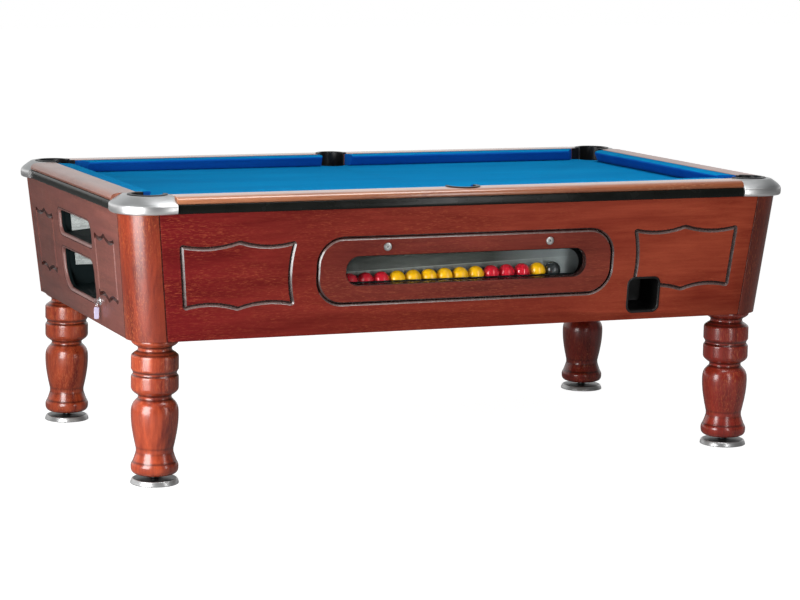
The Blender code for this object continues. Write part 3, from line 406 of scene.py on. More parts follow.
def boardFinish():
    made, place = newFinish("rawBoard")
    grain = use(woodGrain, place, Size=1.3)
    colour = blend(grain["Tone"], (0.30, 0.17, 0.085), (0.50, 0.33, 0.19))
    colour = blend(times(grain["Pore"], 0.5), colour, (0.16, 0.085, 0.04))
    return endFinish(made, colour, spread(grain["Tone"], 0.0, 1.0, 0.6, 0.8), {"Specular IOR Level": 0.2},
                     (grain["Pore"], 0.0004, 0.4))


def glassFinish():
    made, place = newFinish("paneGlass")
    tree = made.node_tree
    smear = noise(stretch(place, (6.0, 6.0, 30.0)), 2.0, 4.0, 0.6)
    constants = {"Metallic": 0.0, "Transmission Weight": 1.0, "IOR": 1.12, "Specular IOR Level": 0.3}
    colour = blend(smear, (0.97, 0.99, 0.98), (0.99, 1.0, 1.0))
    endFinish(made, colour, spread(smear, 0.35, 0.75, 0.01, 0.05), constants)
    # shadow rays pass, so that the balls are lit through the pane
    clear = out(tree, "ShaderNodeBsdfTransparent", {"Color": (0.93, 0.95, 0.94)})
    shadow = put(tree, "ShaderNodeLightPath").outputs["Is Shadow Ray"]
    shader = tree.nodes["Principled BSDF"].outputs[0]
    both = out(tree, "ShaderNodeMixShader", {0: shadow, 1: shader, 2: clear})
    fill(tree.nodes["Material Output"], {"Surface": both})
    return made


def ballFinish(name, tone, deep):
    made, place = newFinish(name)
    wear = use(handlingWear, place)
    swirl = noise(place, 55.0, 3.0, 0.6, 0.6)
    return endFinish(made, blend(swirl, deep, tone), spread(wear["Scratch"], 0.0, 1.0, 0.10, 0.30),
                     {"Coat Weight": 0.6, "Coat Roughness": 0.04}, (wear["Scratch"], 0.0001, 0.2))


grooveStain = stainFinish("grooveStain", (0.026, 0.009, 0.0075), (0.036, 0.0125, 0.0105), 0.6)
# painted highlights for the groove walls, a pale one and a less dark one
grooveHighlightPaint = stainFinish("grooveHighlightPaint", (0.150, 0.092, 0.083), (0.185, 0.115, 0.104), 0.9)
grooveSideHighlightPaint = stainFinish("grooveSideHighlightPaint", (0.050, 0.025, 0.022), (0.070, 0.036, 0.032), 0.9)
# dark stain for the seams to the posts and the lock holes, and painted shade on the reveals of the window,
# pane and outlet
seamStainAndRevealShade = stainFinish("seamStainAndRevealShade", (0.018, 0.005, 0.004), (0.034, 0.009, 0.007), 0.2)
endGrooveStain = stainFinish("endGrooveStain", (0.024, 0.0065, 0.005), (0.046, 0.013, 0.010), 0.08)
shadowPaint = plasticFinish("shadowPaint", (0.003, 0.006, 0.0065), 0.50, 0.06, 300.0)
blueBaize = clothFinish("blueBaize", (0.0015, 0.185, 0.430), (0.0020, 0.230, 0.495), (0.006, 0.25, 0.53))
# painted shade: a darker, more violet copy of the cloth for the cushion faces
shadedCushionBaize = clothFinish("shadedCushionBaize", (0.0045, 0.09, 0.40), (0.0060, 0.12, 0.455), (0.010, 0.14, 0.48))
blackBand = plasticFinish("blackBand", (0.0045, 0.0050, 0.0040), 0.22, 0.20, 300.0)
pocketRubber = plasticFinish("pocketRubber", (0.004, 0.004, 0.0045), 0.36, 0.35, 500.0)
cupPlastic = plasticFinish("cupPlastic", (0.004, 0.004, 0.004), 0.32, 0.4, 420.0)
tagPlastic = plasticFinish("tagPlastic", (0.42, 0.39, 0.52), 0.35, 0.4, 350.0)
castAluminium = castFinish()
brightChrome = metalFinish("brightChrome", (0.62, 0.62, 0.63), (0.74, 0.74, 0.75), 0.12, 300.0)
satinNickel = metalFinish("satinNickel", (0.42, 0.42, 0.41), (0.54, 0.54, 0.53), 0.30, 300.0)
turnedSteel = metalFinish("turnedSteel", (0.10, 0.10, 0.10), (0.16, 0.16, 0.16), 0.34, 900.0)
# painted sheen: a paler, partly matt steel for the rims of the feet
rimSheenSteel = metalFinish("rimSheenSteel", (0.46, 0.46, 0.46), (0.62, 0.62, 0.62), 0.30, 700.0, 0.75)
keyholeBlack = metalFinish("keyholeBlack", (0.02, 0.02, 0.02), (0.04, 0.04, 0.04), 0.5, 500.0)
zincSheet = zincFinish()
traySheet = trayFinish(traySettings)
sawnSlate = stoneFinish()
rawBoard = boardFinish()
paneGlass = glassFinish()
redResin = ballFinish("redResin", (0.62, 0.012, 0.030), (0.50, 0.007, 0.018))
yellowResin = ballFinish("yellowResin", (0.88, 0.47, 0.004), (0.78, 0.39, 0.002))
blackResin = ballFinish("blackResin", (0.034, 0.038, 0.040), (0.022, 0.025, 0.027))
print("finishes ready")


# mesh helpers
def tidyMesh(bm):
    bmesh.ops.remove_doubles(bm, verts=bm.verts, dist=1e-6)
    bmesh.ops.recalc_face_normals(bm, faces=bm.faces)
    mesh = bpy.data.meshes.new("shape")
    bm.to_mesh(mesh)
    bm.free()
    return mesh


def loft(rings, marks=None):
    # faces through rings of equal count, closed at both ends; marks gives each band of faces a finish index
    bm = bmesh.new()
    layers = [[bm.verts.new(point) for point in ring] for ring in rings]
    count = len(rings[0])
    for band, (lower, upper) in enumerate(zip(layers, layers[1:])):
        for i in range(count):
            j = (i + 1) % count
            face = bm.faces.new((lower[i], lower[j], upper[j], upper[i]))
            face.material_index = marks[band] if marks else 0
    bm.faces.new(layers[0][::-1])
    bm.faces.new(layers[-1]).material_index = marks[-1] if marks else 0
    return tidyMesh(bm)


def slab(line, low, high):
    return loft([[(x, y, z) for x, y in line] for z in (low, high)])


def levelRings(outline, levels):
    # outline(growth) at each (height, growth)
    return [[(x, y, z) for x, y in outline(wider)] for z, wider in levels]


def boxMesh(low, high):
    bm = bmesh.new()
    size = Vector(high) - Vector(low)
    place = Matrix.Translation((Vector(low) + Vector(high)) / 2) @ Matrix.Diagonal((*size, 1.0))
    bmesh.ops.create_cube(bm, size=1.0, matrix=place)
    return tidyMesh(bm)


def circle(centre, radius, sides):
    return arc(centre, radius, 0.0, 360.0, sides)[:-1]


def rodMesh(radius, low, high, sides, centre=(0.0, 0.0)):
    return slab(circle(centre, radius, sides), low, high)


def pocketWell(name):
    x, y, radius = pockets[name]
    return rodMesh(radius + table["gap"], table["wellLow"], table["wellHigh"], 64, (x, y))


def paint(mesh, finishes):
    if mesh.materials:
        mesh.materials.clear()
    for finish in finishes:
        mesh.materials.append(finish)


def hold(mesh, finishes):
    paint(mesh, finishes)
    return link("shape", mesh)


def baked(work):
    graph = bpy.context.evaluated_depsgraph_get()
    mesh = bpy.data.meshes.new_from_object(work.evaluated_get(graph))
    bpy.data.objects.remove(work, do_unlink=True)
    return mesh


def carve(mesh, finishes, cuts, joins=(), folded=False):
    # booleans on a plain mesh; each helper is (mesh, finish or finishes for the faces it leaves)
    work = hold(mesh, finishes)
    helpers = []
    for way, items in (("DIFFERENCE", cuts), ("UNION", joins)):
        for other, finish in items:
            helper = hold(other, finish if isinstance(finish, tuple) else [finish])
            step = work.modifiers.new("carve", "BOOLEAN")
            step.operation = way
            step.solver = "EXACT"
            step.use_self = folded
            step.material_mode = "TRANSFER"
            step.object = helper
            helpers.append(helper)
    result = baked(work)
    for helper in helpers:
        bpy.data.objects.remove(helper, do_unlink=True)
    return result


def dress(name, mesh, node, finishes=None, angle=35.0, place=None):
    # the finished piece: at the origin, its place in its mesh, riding the body that its node belongs to
    made = link(name, mesh)
    if finishes:
        paint(mesh, finishes)
    if place is not None:
        mesh.transform(place)
    mesh.shade_smooth()
    mesh.set_sharp_from_angle(angle=math.radians(angle))
    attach(made, bodyOf.get(node, "table"))
    if node:
        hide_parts(node)
    return made


def arc(centre, radius, start, end, steps):
    turns = [math.radians(start + (end - start) * i / steps) for i in range(steps + 1)]
    return [(centre[0] + radius * math.cos(t), centre[1] + radius * math.sin(t)) for t in turns]


def softBox(centre, half, radii, steps=10):
    # rounded rectangle, corners from bottom left round to top left
    radii = radii if isinstance(radii, (list, tuple)) else [radii] * 4
    points = []
    for index, (sx, sy) in enumerate([(-1, -1), (1, -1), (1, 1), (-1, 1)]):
        radius = max(radii[index], 0.0002)
        middle = (centre[0] + sx * (half[0] - radius), centre[1] + sy * (half[1] - radius))
        points += arc(middle, radius, 180 + 90 * index, 270 + 90 * index, steps)
    return points


def smoothLine(points, parts):
    # a line that passes through all points with rounded turns
    line = []
    points = [Vector(point) for point in points]
    for i in range(len(points) - 1):
        a, b = points[max(i - 1, 0)], points[i]
        c, d = points[i + 1], points[min(i + 2, len(points) - 1)]
        for k in range(parts):
            t = k / parts
            line.append(tuple(0.5 * (2 * b + (c - a) * t + (2 * a - 5 * b + 4 * c - d) * t * t
                                     + (3 * b - a - 3 * c + d) * t ** 3)))
    return line + [tuple(points[-1])]


def roundOver(radius, steps):
    # (depth, growth) down a quarter-round edge
    turns = [math.radians(90.0 * i / steps) for i in range(steps + 1)]
    return [(radius * (1 - math.cos(t)), radius * (1 - math.sin(t))) for t in turns]


def mouthMesh(outline, radius, deep):
    # cutter for an opening; finishes: 0 the rounded edge, 1 the straight part behind, 2 the outermost line
    levels = [(0.004, radius)] + [(-depth, wider) for depth, wider in roundOver(radius, 7)] + [(-deep, 0.0)]
    return loft(levelRings(outline, levels)[::-1], [1] + [0] * (len(levels) - 4) + [2, 2, 2])


def turnTo(side):
    return Matrix.Rotation(math.radians(sideTurn[side]), 4, "Z")


def sideFrame(side):
    reach = table["footY"] if side in longSides else table["footX"]
    tilt = Matrix.Rotation(math.radians(90) + lean, 4, "X")
    return turnTo(side) @ Matrix.Translation((0.0, -reach, table["low"])) @ tilt


def upSlope(height):
    return (height - table["low"]) / math.cos(lean)


def onRail(side, along, inset, height):
    reach = table["bandY"] if side in longSides else table["bandX"]
    return turnTo(side) @ Vector((along, inset - reach, height))


# geometry node trees
def newTree(name, takes):
    tree = bpy.data.node_groups.new(name, "GeometryNodeTree")
    for label, kind in {"Geometry": "Geometry", **takes, "Finish": "Material"}.items():
        tree.interface.new_socket(label, in_out="INPUT", socket_type="NodeSocket" + kind)
    tree.interface.new_socket("Geometry", in_out="OUTPUT", socket_type="NodeSocketGeometry")
    return tree, tree.nodes.new("NodeGroupInput").outputs


def endTree(tree, geometry, finish):
    real = out(tree, "GeometryNodeRealizeInstances", {0: geometry})
    smooth = out(tree, "GeometryNodeSetShadeSmooth", {0: real})
    done = out(tree, "GeometryNodeSetMaterial", {0: smooth, "Material": finish})
    put(tree, "NodeGroupOutput", {0: done})
    return tree


def turnedTree():
    # a lathe: the input's points are (radius, 0, height) down the outline
    tree, takes = newTree("turnedWork", {"Rows": "Int", "Steps": "Int", "Place": "Vector"})
    values = {0: 1.0, 1: 1.0, 2: plus(takes["Steps"], 1.0), 3: takes["Rows"]}
    grid = out(tree, "GeometryNodeMeshGrid", values)
    position = out(tree, "GeometryNodeInputPosition")
    spot = axesOf(position)
    row = calc("ROUND", times(plus(spot[1], 0.5), minus(takes["Rows"], 1.0)))
    sample = put(tree, "GeometryNodeSampleIndex", {0: takes["Geometry"], 1: position, "Index": row},
                 data_type="FLOAT_VECTOR", domain="POINT")
    edge = axesOf(sample.outputs[0])
    turn = times(plus(spot[0], 0.5), 2 * math.pi)
    x, y = times(edge[0], calc("COSINE", turn)), times(edge[0], calc("SINE", turn))
    spun = out(tree, "ShaderNodeCombineXYZ", {0: x, 1: y, 2: edge[2]})
    moved = out(tree, "GeometryNodeSetPosition", {0: grid, "Position": spun, "Offset": takes["Place"]})
    whole = out(tree, "GeometryNodeMergeByDistance", {0: moved, "Distance": 0.00001})
    return endTree(tree, whole, takes["Finish"])


def tubeTree():
    # a bit that follows the input's closed line: round with many sides, a V with four, eased by Blunt
    tree, takes = newTree("routerPath", {"Radius": "Float", "Sides": "Int", "Blunt": "Float"})
    line = out(tree, "GeometryNodeMeshToCurve", {0: takes["Geometry"]})
    line = out(tree, "GeometryNodeSetCurveNormal", {0: line}, mode="Z_UP")
    values = {"Resolution": takes["Sides"], "Radius": takes["Radius"]}
    bit = out(tree, "GeometryNodeCurvePrimitiveCircle", values)
    values = {0: bit, "Radius": takes["Blunt"], "Count": 5}
    blunt = out(tree, "GeometryNodeFilletCurve", values, mode="POLY")
    return endTree(tree, out(tree, "GeometryNodeCurveToMesh", {0: line, 1: blunt}), takes["Finish"])


def ballTree():
    # a ball on each of the input's points
    tree, takes = newTree("ballRow", {"Radius": "Float", "Segments": "Int"})
    values = {0: takes["Segments"], 1: calc("DIVIDE", takes["Segments"], 2.0), 2: takes["Radius"]}
    ball = out(tree, "GeometryNodeMeshUVSphere", values)
    row = out(tree, "GeometryNodeInstanceOnPoints", {0: takes["Geometry"], 2: ball})
    return endTree(tree, row, takes["Finish"])


turnedWork = turnedTree()
routerPath = tubeTree()
ballRow = ballTree()


def grow(tree, points, values, ring=False):
    # runs a tree on a line of points and returns its plain mesh
    mesh = bpy.data.meshes.new("line")
    pairs = [(i, i + 1) for i in range(len(points) - 1)] + ([(len(points) - 1, 0)] if ring else [])
    mesh.from_pydata(points, pairs, [])
    work = link("line", mesh)
    step = work.modifiers.new("grow", "NODES")
    step.node_group = tree
    for socket in tree.interface.items_tree:
        if socket.in_out == "INPUT" and socket.name in values:
            step[socket.identifier] = values[socket.name]
    bpy.context.view_layer.update()
    grown = baked(work)
    paint(grown, [values["Finish"]])
    return grown


def turnedMesh(outline, steps, finish, place=(0.0, 0.0, 0.0)):
    points = [(radius, 0.0, height) for radius, height in outline]
    mesh = grow(turnedWork, points, {"Rows": len(points), "Steps": steps, "Place": place, "Finish": finish})
    bm = bmesh.new()
    bm.from_mesh(mesh)
    bmesh.ops.remove_doubles(bm, verts=bm.verts, dist=1e-6)
    bmesh.ops.dissolve_degenerate(bm, edges=bm.edges, dist=1e-7)
    bmesh.ops.recalc_face_normals(bm, faces=bm.faces)
    bm.to_mesh(mesh)
    bm.free()
    return mesh


# cabinet panels with routed brackets
panelSettings = {
    "bracketLow": 0.522, "bracketHigh": 0.703, "peak": 0.007, "sag": 0.012, "straight": 0.001, "flare": 0.025,
    "long": (0.550, 0.886), "end": (0.247, 0.443), "spare": 1.02, "uprightMargin": 0.014,
    "bit": 0.0080, "bitDepth": 0.0062, "blunt": 0.0020, "cornerRound": 0.007, "edge": 0.0022,
    "upper": ((-0.165, 0.660), (0.199, 0.729), (0.027, 0.010, 0.032, 0.012)),
    "lower": ((-0.159, 0.492), (0.193, 0.611), (0.072, 0.018, 0.030, 0.020)),
    "openingEdge": 0.010, "lockHole": (0.243, 0.500), "windowEdge": 0.0004, "cupGap": 0.0035,
    "cupEdge": 0.002, "trim": (1.2, 0.8, 0.05),
}
windowSettings = {
    "half": (0.4765, 0.100), "height": 0.612, "radius": 0.080, "gap": 0.003,
    "pane": (0.3865, 0.043, 0.039), "paneEdge": 0.0022, "lockX": 0.262, "lockZ": 0.6815, "tongue": 0.038,
}
cupSettings = {"x": 0.5905, "height": 0.502, "half": 0.0485, "corner": 0.016, "deep": 0.107}


def roundCorners(points, reach):
    # a closed line with its sharp turns eased
    sharp = []
    for i, here in enumerate(points):
        before, after = points[i - 1], points[(i + 1) % len(points)]
        if (here - before).angle(after - here) > math.radians(18):
            sharp.append(i)
    eased = []
    for i, here in enumerate(points):
        if i not in sharp:
            if min((here - points[k]).length for k in sharp) > reach * 1.4:
                eased.append(here)
            continue
        inward = (here - points[i - 1]).normalized()
        outward = (points[(i + 1) % len(points)] - here).normalized()
        start, end = here - inward * reach, here + outward * reach
        for k in range(7):
            t = k / 6
            eased.append(start * (1 - t) ** 2 + here * (2 * t * (1 - t)) + end * t * t)
    return eased


def bracketLine(inner, outer, mirror, hollowInner, p):
    low, high, sag = upSlope(p["bracketLow"]), upSlope(p["bracketHigh"]), p["sag"]
    flare = (outer - inner) * p["flare"]
    middle = (inner + outer) / 2
    runs = [  # where a run starts, how far it sags inwards and in how many steps
        ((inner, low), sag, 12), ((middle, low - p["peak"]), sag, 12), ((outer - flare, low), 0.0, 3),
        ((outer + flare, high), sag, 12), ((middle, high + p["peak"]), sag, 12),
        ((inner, high), sag if hollowInner else p["straight"], 12),
    ]
    points = []
    for index, (start, dip, steps) in enumerate(runs):
        a, b = Vector(start), Vector(runs[(index + 1) % len(runs)][0])
        left = Vector((a.y - b.y, b.x - a.x)).normalized()
        for i in range(steps):
            t = i / steps
            points.append(a.lerp(b, t) + left * (dip * 4 * t * (1 - t)))
    return [(mirror * x, y) for x, y in roundCorners(points, p["cornerRound"])]


def routedMesh(line, p):
    points = [(x, y, p["bit"] - p["bitDepth"]) for x, y in line]
    values = {"Radius": p["bit"], "Sides": 4, "Blunt": p["blunt"], "Finish": grooveStain}
    bm = bmesh.new()
    bm.from_mesh(grow(routerPath, points, values, ring=True))
    return tidyMesh(bm)


def coveMesh(p):
    # the same bit run round the door, half on it and half on the panel
    return routedMesh(windowLine(windowSettings["gap"] / 2), p)


def lockHole(x, z):
    return rodMesh(0.0095, -0.04, 0.02, 32, (x, upSlope(z))), seamStainAndRevealShade


def openingLine(opening):
    (left, bottom), (right, top), radii = opening
    low, high = upSlope(bottom), upSlope(top)
    centre = ((left + right) / 2, (low + high) / 2)
    half = ((right - left) / 2, (high - low) / 2)
    return lambda wider: softBox(centre, (half[0] + wider, half[1] + wider), [r + wider for r in radii])


def windowLine(shrink, w=windowSettings):
    half = (w["half"][0] - shrink, w["half"][1] - shrink)
    return softBox((0.0, upSlope(w["height"])), half, w["radius"] - shrink, 18)


def cupLine(wider, c=cupSettings):
    half = c["half"] + wider
    return softBox((c["x"], upSlope(c["height"])), (half, half), c["corner"] + wider)


def paintGrooveHighlights(mesh, facing=0.35):
    # painted highlights: groove walls that face up take a pale colour and those that face left a less dark
    # one, where the lacquer would shine in the light
    stained = [i for i, finish in enumerate(mesh.materials) if finish == grooveStain]
    mesh.materials.append(grooveHighlightPaint)
    mesh.materials.append(grooveSideHighlightPaint)
    for face in mesh.polygons:
        if face.material_index in stained and face.normal.y > facing:
            face.material_index = len(mesh.materials) - 2
        elif face.material_index in stained and face.normal.x < -facing:
            face.material_index = len(mesh.materials) - 1


def panelPlate(foot, p):
    taper = (table["topX"] - table["footX"]) * p["spare"]
    rise, edge = upSlope(table["high"]) * p["spare"], p["edge"]
    rings = []
    for z, inset in ((-table["panel"], 0.0), (-edge, 0.0), (-edge * 0.3, edge * 0.35), (0.0, edge)):
        half = foot - inset
        rings.append([(-half, inset, z), (half, inset, z), (half + taper, rise, z), (-half - taper, rise, z)])
    plate = loft(rings, [0, 1, 1, 0])
    for face in plate.polygons:  # only the seams to the posts are stained dark
        face.material_index = 1 if face.material_index and abs(face.normal.x) > 0.3 else 0
    return plate


def makePanels(p):
    for side in sideTurn:
        longSide = side in longSides
        finish = longPanelWood if longSide else endPanelWood
        stain = grooveStain if longSide else endGrooveStain
        foot = (table["footX"] if longSide else table["footY"]) - table["post"] - table["gap"]
        cuts = []
        for mirror in (-1, 1):
            groove = routedMesh(bracketLine(*p["long" if longSide else "end"], mirror, longSide, p), p)
            low, high = upSlope(p["bracketLow"]) + p["uprightMargin"], upSlope(p["bracketHigh"]) - p["uprightMargin"]
            for face in groove.polygons:  # the upright runs on the ends take the end veneer's colour instead of the dark stain
                face.material_index = 1 if low < face.center.y < high and not longSide else 0
            cuts.append((groove, (stain, finish)))
        if side == "front":
            window = mouthMesh(lambda wider: windowLine(-wider), p["windowEdge"], table["through"])
            outlet = mouthMesh(lambda wider: cupLine(wider + p["cupGap"]), p["cupEdge"], table["through"])
            # painted shade: the reveals of the window and the outlet are dark
            cuts += [(coveMesh(p), grooveStain), (window, (seamStainAndRevealShade,) * 3), (outlet, (seamStainAndRevealShade,) * 3)]
        if side == "left_end":
            for key in ("upper", "lower"):
                mouth = mouthMesh(openingLine(p[key]), p["openingEdge"], table["through"])
                # painted sheen on each rounded edge, and painted shade making the straight part behind it
                # black
                cuts.append((mouth, (bevelSheenWood, shadowPaint, endGrooveStain)))
            cuts.append(lockHole(*p["lockHole"]))
        x, y, rise = p["trim"]
        trim = boxMesh((-x, -y, table["high"]), (x, y, table["high"] + rise))
        trim.transform(sideFrame(side).inverted())
        cuts.append((trim, finish))
        mesh = carve(panelPlate(foot, p), [finish, seamStainAndRevealShade], cuts, folded=True)
        paintGrooveHighlights(mesh)
        dress(side + "PanelVeneer", mesh, side + "_panel", angle=30.0, place=sideFrame(side))


makePanels(panelSettings)
print("panels made")


# rounded corner posts
postSettings = {"outerSteps": 28, "innerSteps": 12, "edge": 0.0010}


def makePosts(p):
    radius, inner = table["post"], table["post"] - table["panel"]
    slope = (table["topX"] - table["footX"]) / (table["high"] - table["low"])
    turn = math.degrees(p["edge"] / radius)
    section = [(radius - p["edge"], 0.0)]
    section += arc((0.0, 0.0), radius, turn, 90.0 - turn, p["outerSteps"])
    section += [(0.0, radius - p["edge"])]
    section += arc((0.0, 0.0), inner, 90.0, 0.0, p["innerSteps"])
    footX, footY = table["footX"] - radius, table["footY"] - radius
    for name, (sx, sy) in corners.items():
        rings = []
        for z in (table["low"], table["high"]):
            away = slope * (z - table["low"])
            rings.append([(sx * (footX + x + away), sy * (footY + y + away), z) for x, y in section])
        dress(name + "PostRound", loft(rings), name + "_post", [postWood], 30.0)


makePosts(postSettings)
print("posts made")


# turned legs and their levelling feet
legSettings = {
    "radius": 0.0695, "steps": 72, "bottom": 0.0285, "bore": 0.0124, "boreTop": 0.085,
    "places": (0.937, 0.492),
    "beads": [  # (radius as a share, height), one list for each smooth stretch between creases
        [(0.0, 0.4247), (0.955, 0.4247)],
        [(0.97, 0.4240), (0.985, 0.4215), (0.987, 0.4175), (0.965, 0.4135), (0.90, 0.4092), (0.82, 0.4057),
         (0.757, 0.4035)],
        [(0.735, 0.4020), (0.714, 0.3985), (0.711, 0.3955), (0.722, 0.3925), (0.745, 0.3903)],
        [(0.765, 0.3890), (0.83, 0.3862), (0.895, 0.3832), (0.918, 0.3818)],
        [(0.935, 0.3808), (0.975, 0.3782), (0.995, 0.3745), (1.0, 0.370), (1.0, 0.340), (0.995, 0.3375),
         (0.975, 0.3345), (0.945, 0.3310)],
        [(0.930, 0.3290), (0.920, 0.3260), (0.925, 0.3230), (0.940, 0.3210)],
        [(0.955, 0.3200), (0.985, 0.3175), (0.998, 0.3140), (1.0, 0.3100), (1.0, 0.2850), (0.996, 0.2810),
         (0.97, 0.2755), (0.90, 0.2700), (0.82, 0.2655), (0.752, 0.2625)],
        [(0.735, 0.2615), (0.708, 0.2590), (0.70, 0.2560), (0.705, 0.2530), (0.722, 0.2508)],
        [(0.745, 0.2490), (0.81, 0.2445), (0.88, 0.2390), (0.94, 0.2320), (0.98, 0.2235), (0.998, 0.2130),
         (1.0, 0.2020), (0.993, 0.1880), (0.972, 0.1710), (0.935, 0.1530), (0.88, 0.1320), (0.83, 0.1160),
         (0.805, 0.1075)],
        [(0.795, 0.1060), (0.789, 0.1010), (0.789, 0.0960), (0.794, 0.0920)],
        [(0.805, 0.0900), (0.835, 0.0830), (0.88, 0.0740), (0.925, 0.0660)],
        [(0.938, 0.0645), (0.975, 0.0600), (0.998, 0.0545), (1.0, 0.0490), (0.995, 0.0430), (0.975, 0.0380),
         (0.935, 0.0338), (0.875, 0.0305), (0.80, 0.0285)],
    ],
    "creases": {0.4028: 0.95, 0.3897: 0.95, 0.3813: 0.9, 0.3300: 0.95, 0.3205: 0.95, 0.2620: 0.9, 0.2499: 0.9,
                0.1068: 0.4, 0.0910: 0.4, 0.0652: 0.8},  # height and how dark its stain and painted shade are
    "stainAndShadeReach": 0.0055, "stainAndShadeFade": 1.2,
}
footSettings = {
    "steps": 72, "rim": 0.0632,
    "outline": [(0.0, 0.079), (0.0112, 0.079), (0.012, 0.0782), (0.012, 0.0175), (0.0135, 0.0165),
                (0.030, 0.0158), (0.0585, 0.0152), (0.0632, 0.0150), (0.0652, 0.0146), (0.0664, 0.0139),
                (0.0672, 0.0125), (0.0690, 0.0085), (0.0704, 0.0042), (0.0709, 0.0028), (0.0710, 0.0018),
                (0.0706, 0.0006), (0.0695, 0.0), (0.0, 0.0)],
}


def makeLegs(p, f):
    outline = []
    for bead in p["beads"]:
        outline += smoothLine([(share * p["radius"], height) for share, height in bead], 4)
    outline += [(p["bore"], p["bottom"]), (p["bore"], p["boreTop"]), (0.0, p["boreTop"])]
    for name, (sx, sy) in corners.items():
        place = (sx * p["places"][0], sy * p["places"][1], 0.0)
        mesh = turnedMesh(outline, p["steps"], legWood, place)
        # stain and painted shade: vertices near each crease are darkened
        stain = mesh.attributes.new("stainAndShadeInCreases", "FLOAT", "POINT")
        for vertex, item in zip(mesh.vertices, stain.data):
            item.value = max(
                deep * max(0.0, 1.0 - abs(vertex.co.z - height) / p["stainAndShadeReach"]) ** p["stainAndShadeFade"]
                for height, deep in p["creases"].items())
        dress(name + "LegTurning", mesh, name + "_leg", angle=50.0)
        foot = turnedMesh(f["outline"], f["steps"], turnedSteel, place)
        foot.materials.append(rimSheenSteel)
        for face in foot.polygons:  # the rim gets a paler, partly matt steel as a painted sheen, the sloping top a dull dark steel
            span = math.hypot(face.center.x - place[0], face.center.y - place[1])
            face.material_index = 1 if span > f["rim"] else 0
        dress(name + "FootDisc", foot, name + "_levelling_foot")


makeLegs(legSettings, footSettings)
print("legs and feet made")


# rails and the trim band under them
railSettings = {
    "crest": [(0.0078, 0.8243), (0.0040, 0.8253), (0.0020, 0.8285), (0.0021, 0.8330), (0.0046, 0.8385),
              (0.0095, 0.8425), (0.0165, 0.8449), (0.0260, 0.8461), (0.0380, 0.8465), (0.0560, 0.8465),
              (0.0740, 0.8462), (0.0835, 0.8458)],
    "inner": [(0.0850, 0.8450), (0.0850, 0.8079), (0.0262, 0.8079), (0.0262, 0.7975), (0.0078, 0.7975)],
    "band": [(0.0075, 0.8240), (0.0040, 0.8240), (0.0022, 0.8228), (0.0010, 0.8200), (0.0002, 0.8150),
             (0.0, 0.8108), (0.0002, 0.8066), (0.0010, 0.8015), (0.0022, 0.7987), (0.0040, 0.7975),
             (0.0075, 0.7975)],
}


def makeRails(p):
    crest = smoothLine(p["crest"], 4) + p["inner"]
    band = [p["band"][0]] + smoothLine(p["band"][1:-1], 4) + [p["band"][-1]]
    for side in sideTurn:
        longSide = side in longSides
        stop = (table["bandX"] if longSide else table["bandY"]) - table["arm"] - table["gap"]
        railMesh, bandMesh = (
            loft([[onRail(side, along, inset, z) for inset, z in line] for along in (-stop, stop)])
            for line in (crest, band))
        finish = longRailWood if longSide else endRailWood
        if longSide:
            railMesh = carve(railMesh, [finish], [(pocketWell(side + "_middle"), finish)])
        dress(side + "RailCrest", railMesh, side + "_rail", [finish])
        dress(side + "BandStrip", bandMesh, side + "_trim_band", [blackBand])


makeRails(railSettings)
print("rails and bands made")


# corner castings
castSettings = {
    "bulge": 0.035, "reach": 0.75, "lip": -0.005, "steps": 40, "seat": 0.074, "seatLow": 0.77,
    "levels": [(0.0, 0.0050), (0.0018, 0.0022), (0.005, 0.0005), (0.011, 0.0), (0.018, 0.0), (0.0222, 0.0008),
               (0.0245, 0.0025), (0.0285, 0.0068), (0.033, 0.0120), (0.042, 0.0280), (0.0470, 0.0380),
               (0.0484, 0.0412), (0.049, 0.0440)],
}


def castingRing(sx, sy, height, drawIn, p):
    armX, armY = table["bandX"] - table["arm"], table["bandY"] - table["arm"]
    inset = p["lip"] + drawIn
    reach = p["reach"] * table["arm"]
    a, d = Vector((armX, table["bandY"] - inset)), Vector((table["bandX"] - inset, armY))
    b, c = a + Vector((reach, p["bulge"])), d + Vector((p["bulge"], reach))
    points = []
    for i in range(p["steps"] + 1):
        t = i / p["steps"]
        points.append(a * (1 - t) ** 3 + b * (3 * t * (1 - t) ** 2) + c * (3 * t * t * (1 - t)) + d * t ** 3)
    innerX, innerY = table["bandX"] - table["railWood"], table["bandY"] - table["railWood"]
    points += [(innerX, armY), (innerX, innerY), (armX, innerY)]
    return [(sx * x, sy * y, height) for x, y in points]


def makeCastings(p):
    cornerX, cornerY = table["topX"] - table["post"], table["topY"] - table["post"]
    seatLine = softBox((0.0, 0.0), (cornerX + p["seat"], cornerY + p["seat"]), p["seat"], 16)
    for name, (sx, sy) in corners.items():
        rings = [castingRing(sx, sy, table["bandLow"] + rise, drawIn, p) for rise, drawIn in p["levels"]]
        seat = slab(seatLine, p["seatLow"], table["bed"] + table["gap"])
        cuts = [(seat, castAluminium), (pocketWell(name), castAluminium)]
        mesh = carve(loft(rings), [castAluminium], cuts)
        dress(name + "CornerCasting", mesh, name + "_casting", angle=40.0)


makeCastings(castSettings)
print("castings made")


# pocket boots
bootSettings = {
    "wall": 0.0035, "lip": 0.0095, "lipHigh": 0.003, "drop": 0.002, "floor": 0.0045, "half": 0.062,
    "middleMouth": 0.012, "cornerMouth": 0.034, "mouthEnd": 0.09, "mouthTop": 0.88,
    "cheek": 0.0035, "jaw": 0.166, "clear": 0.0006,
}


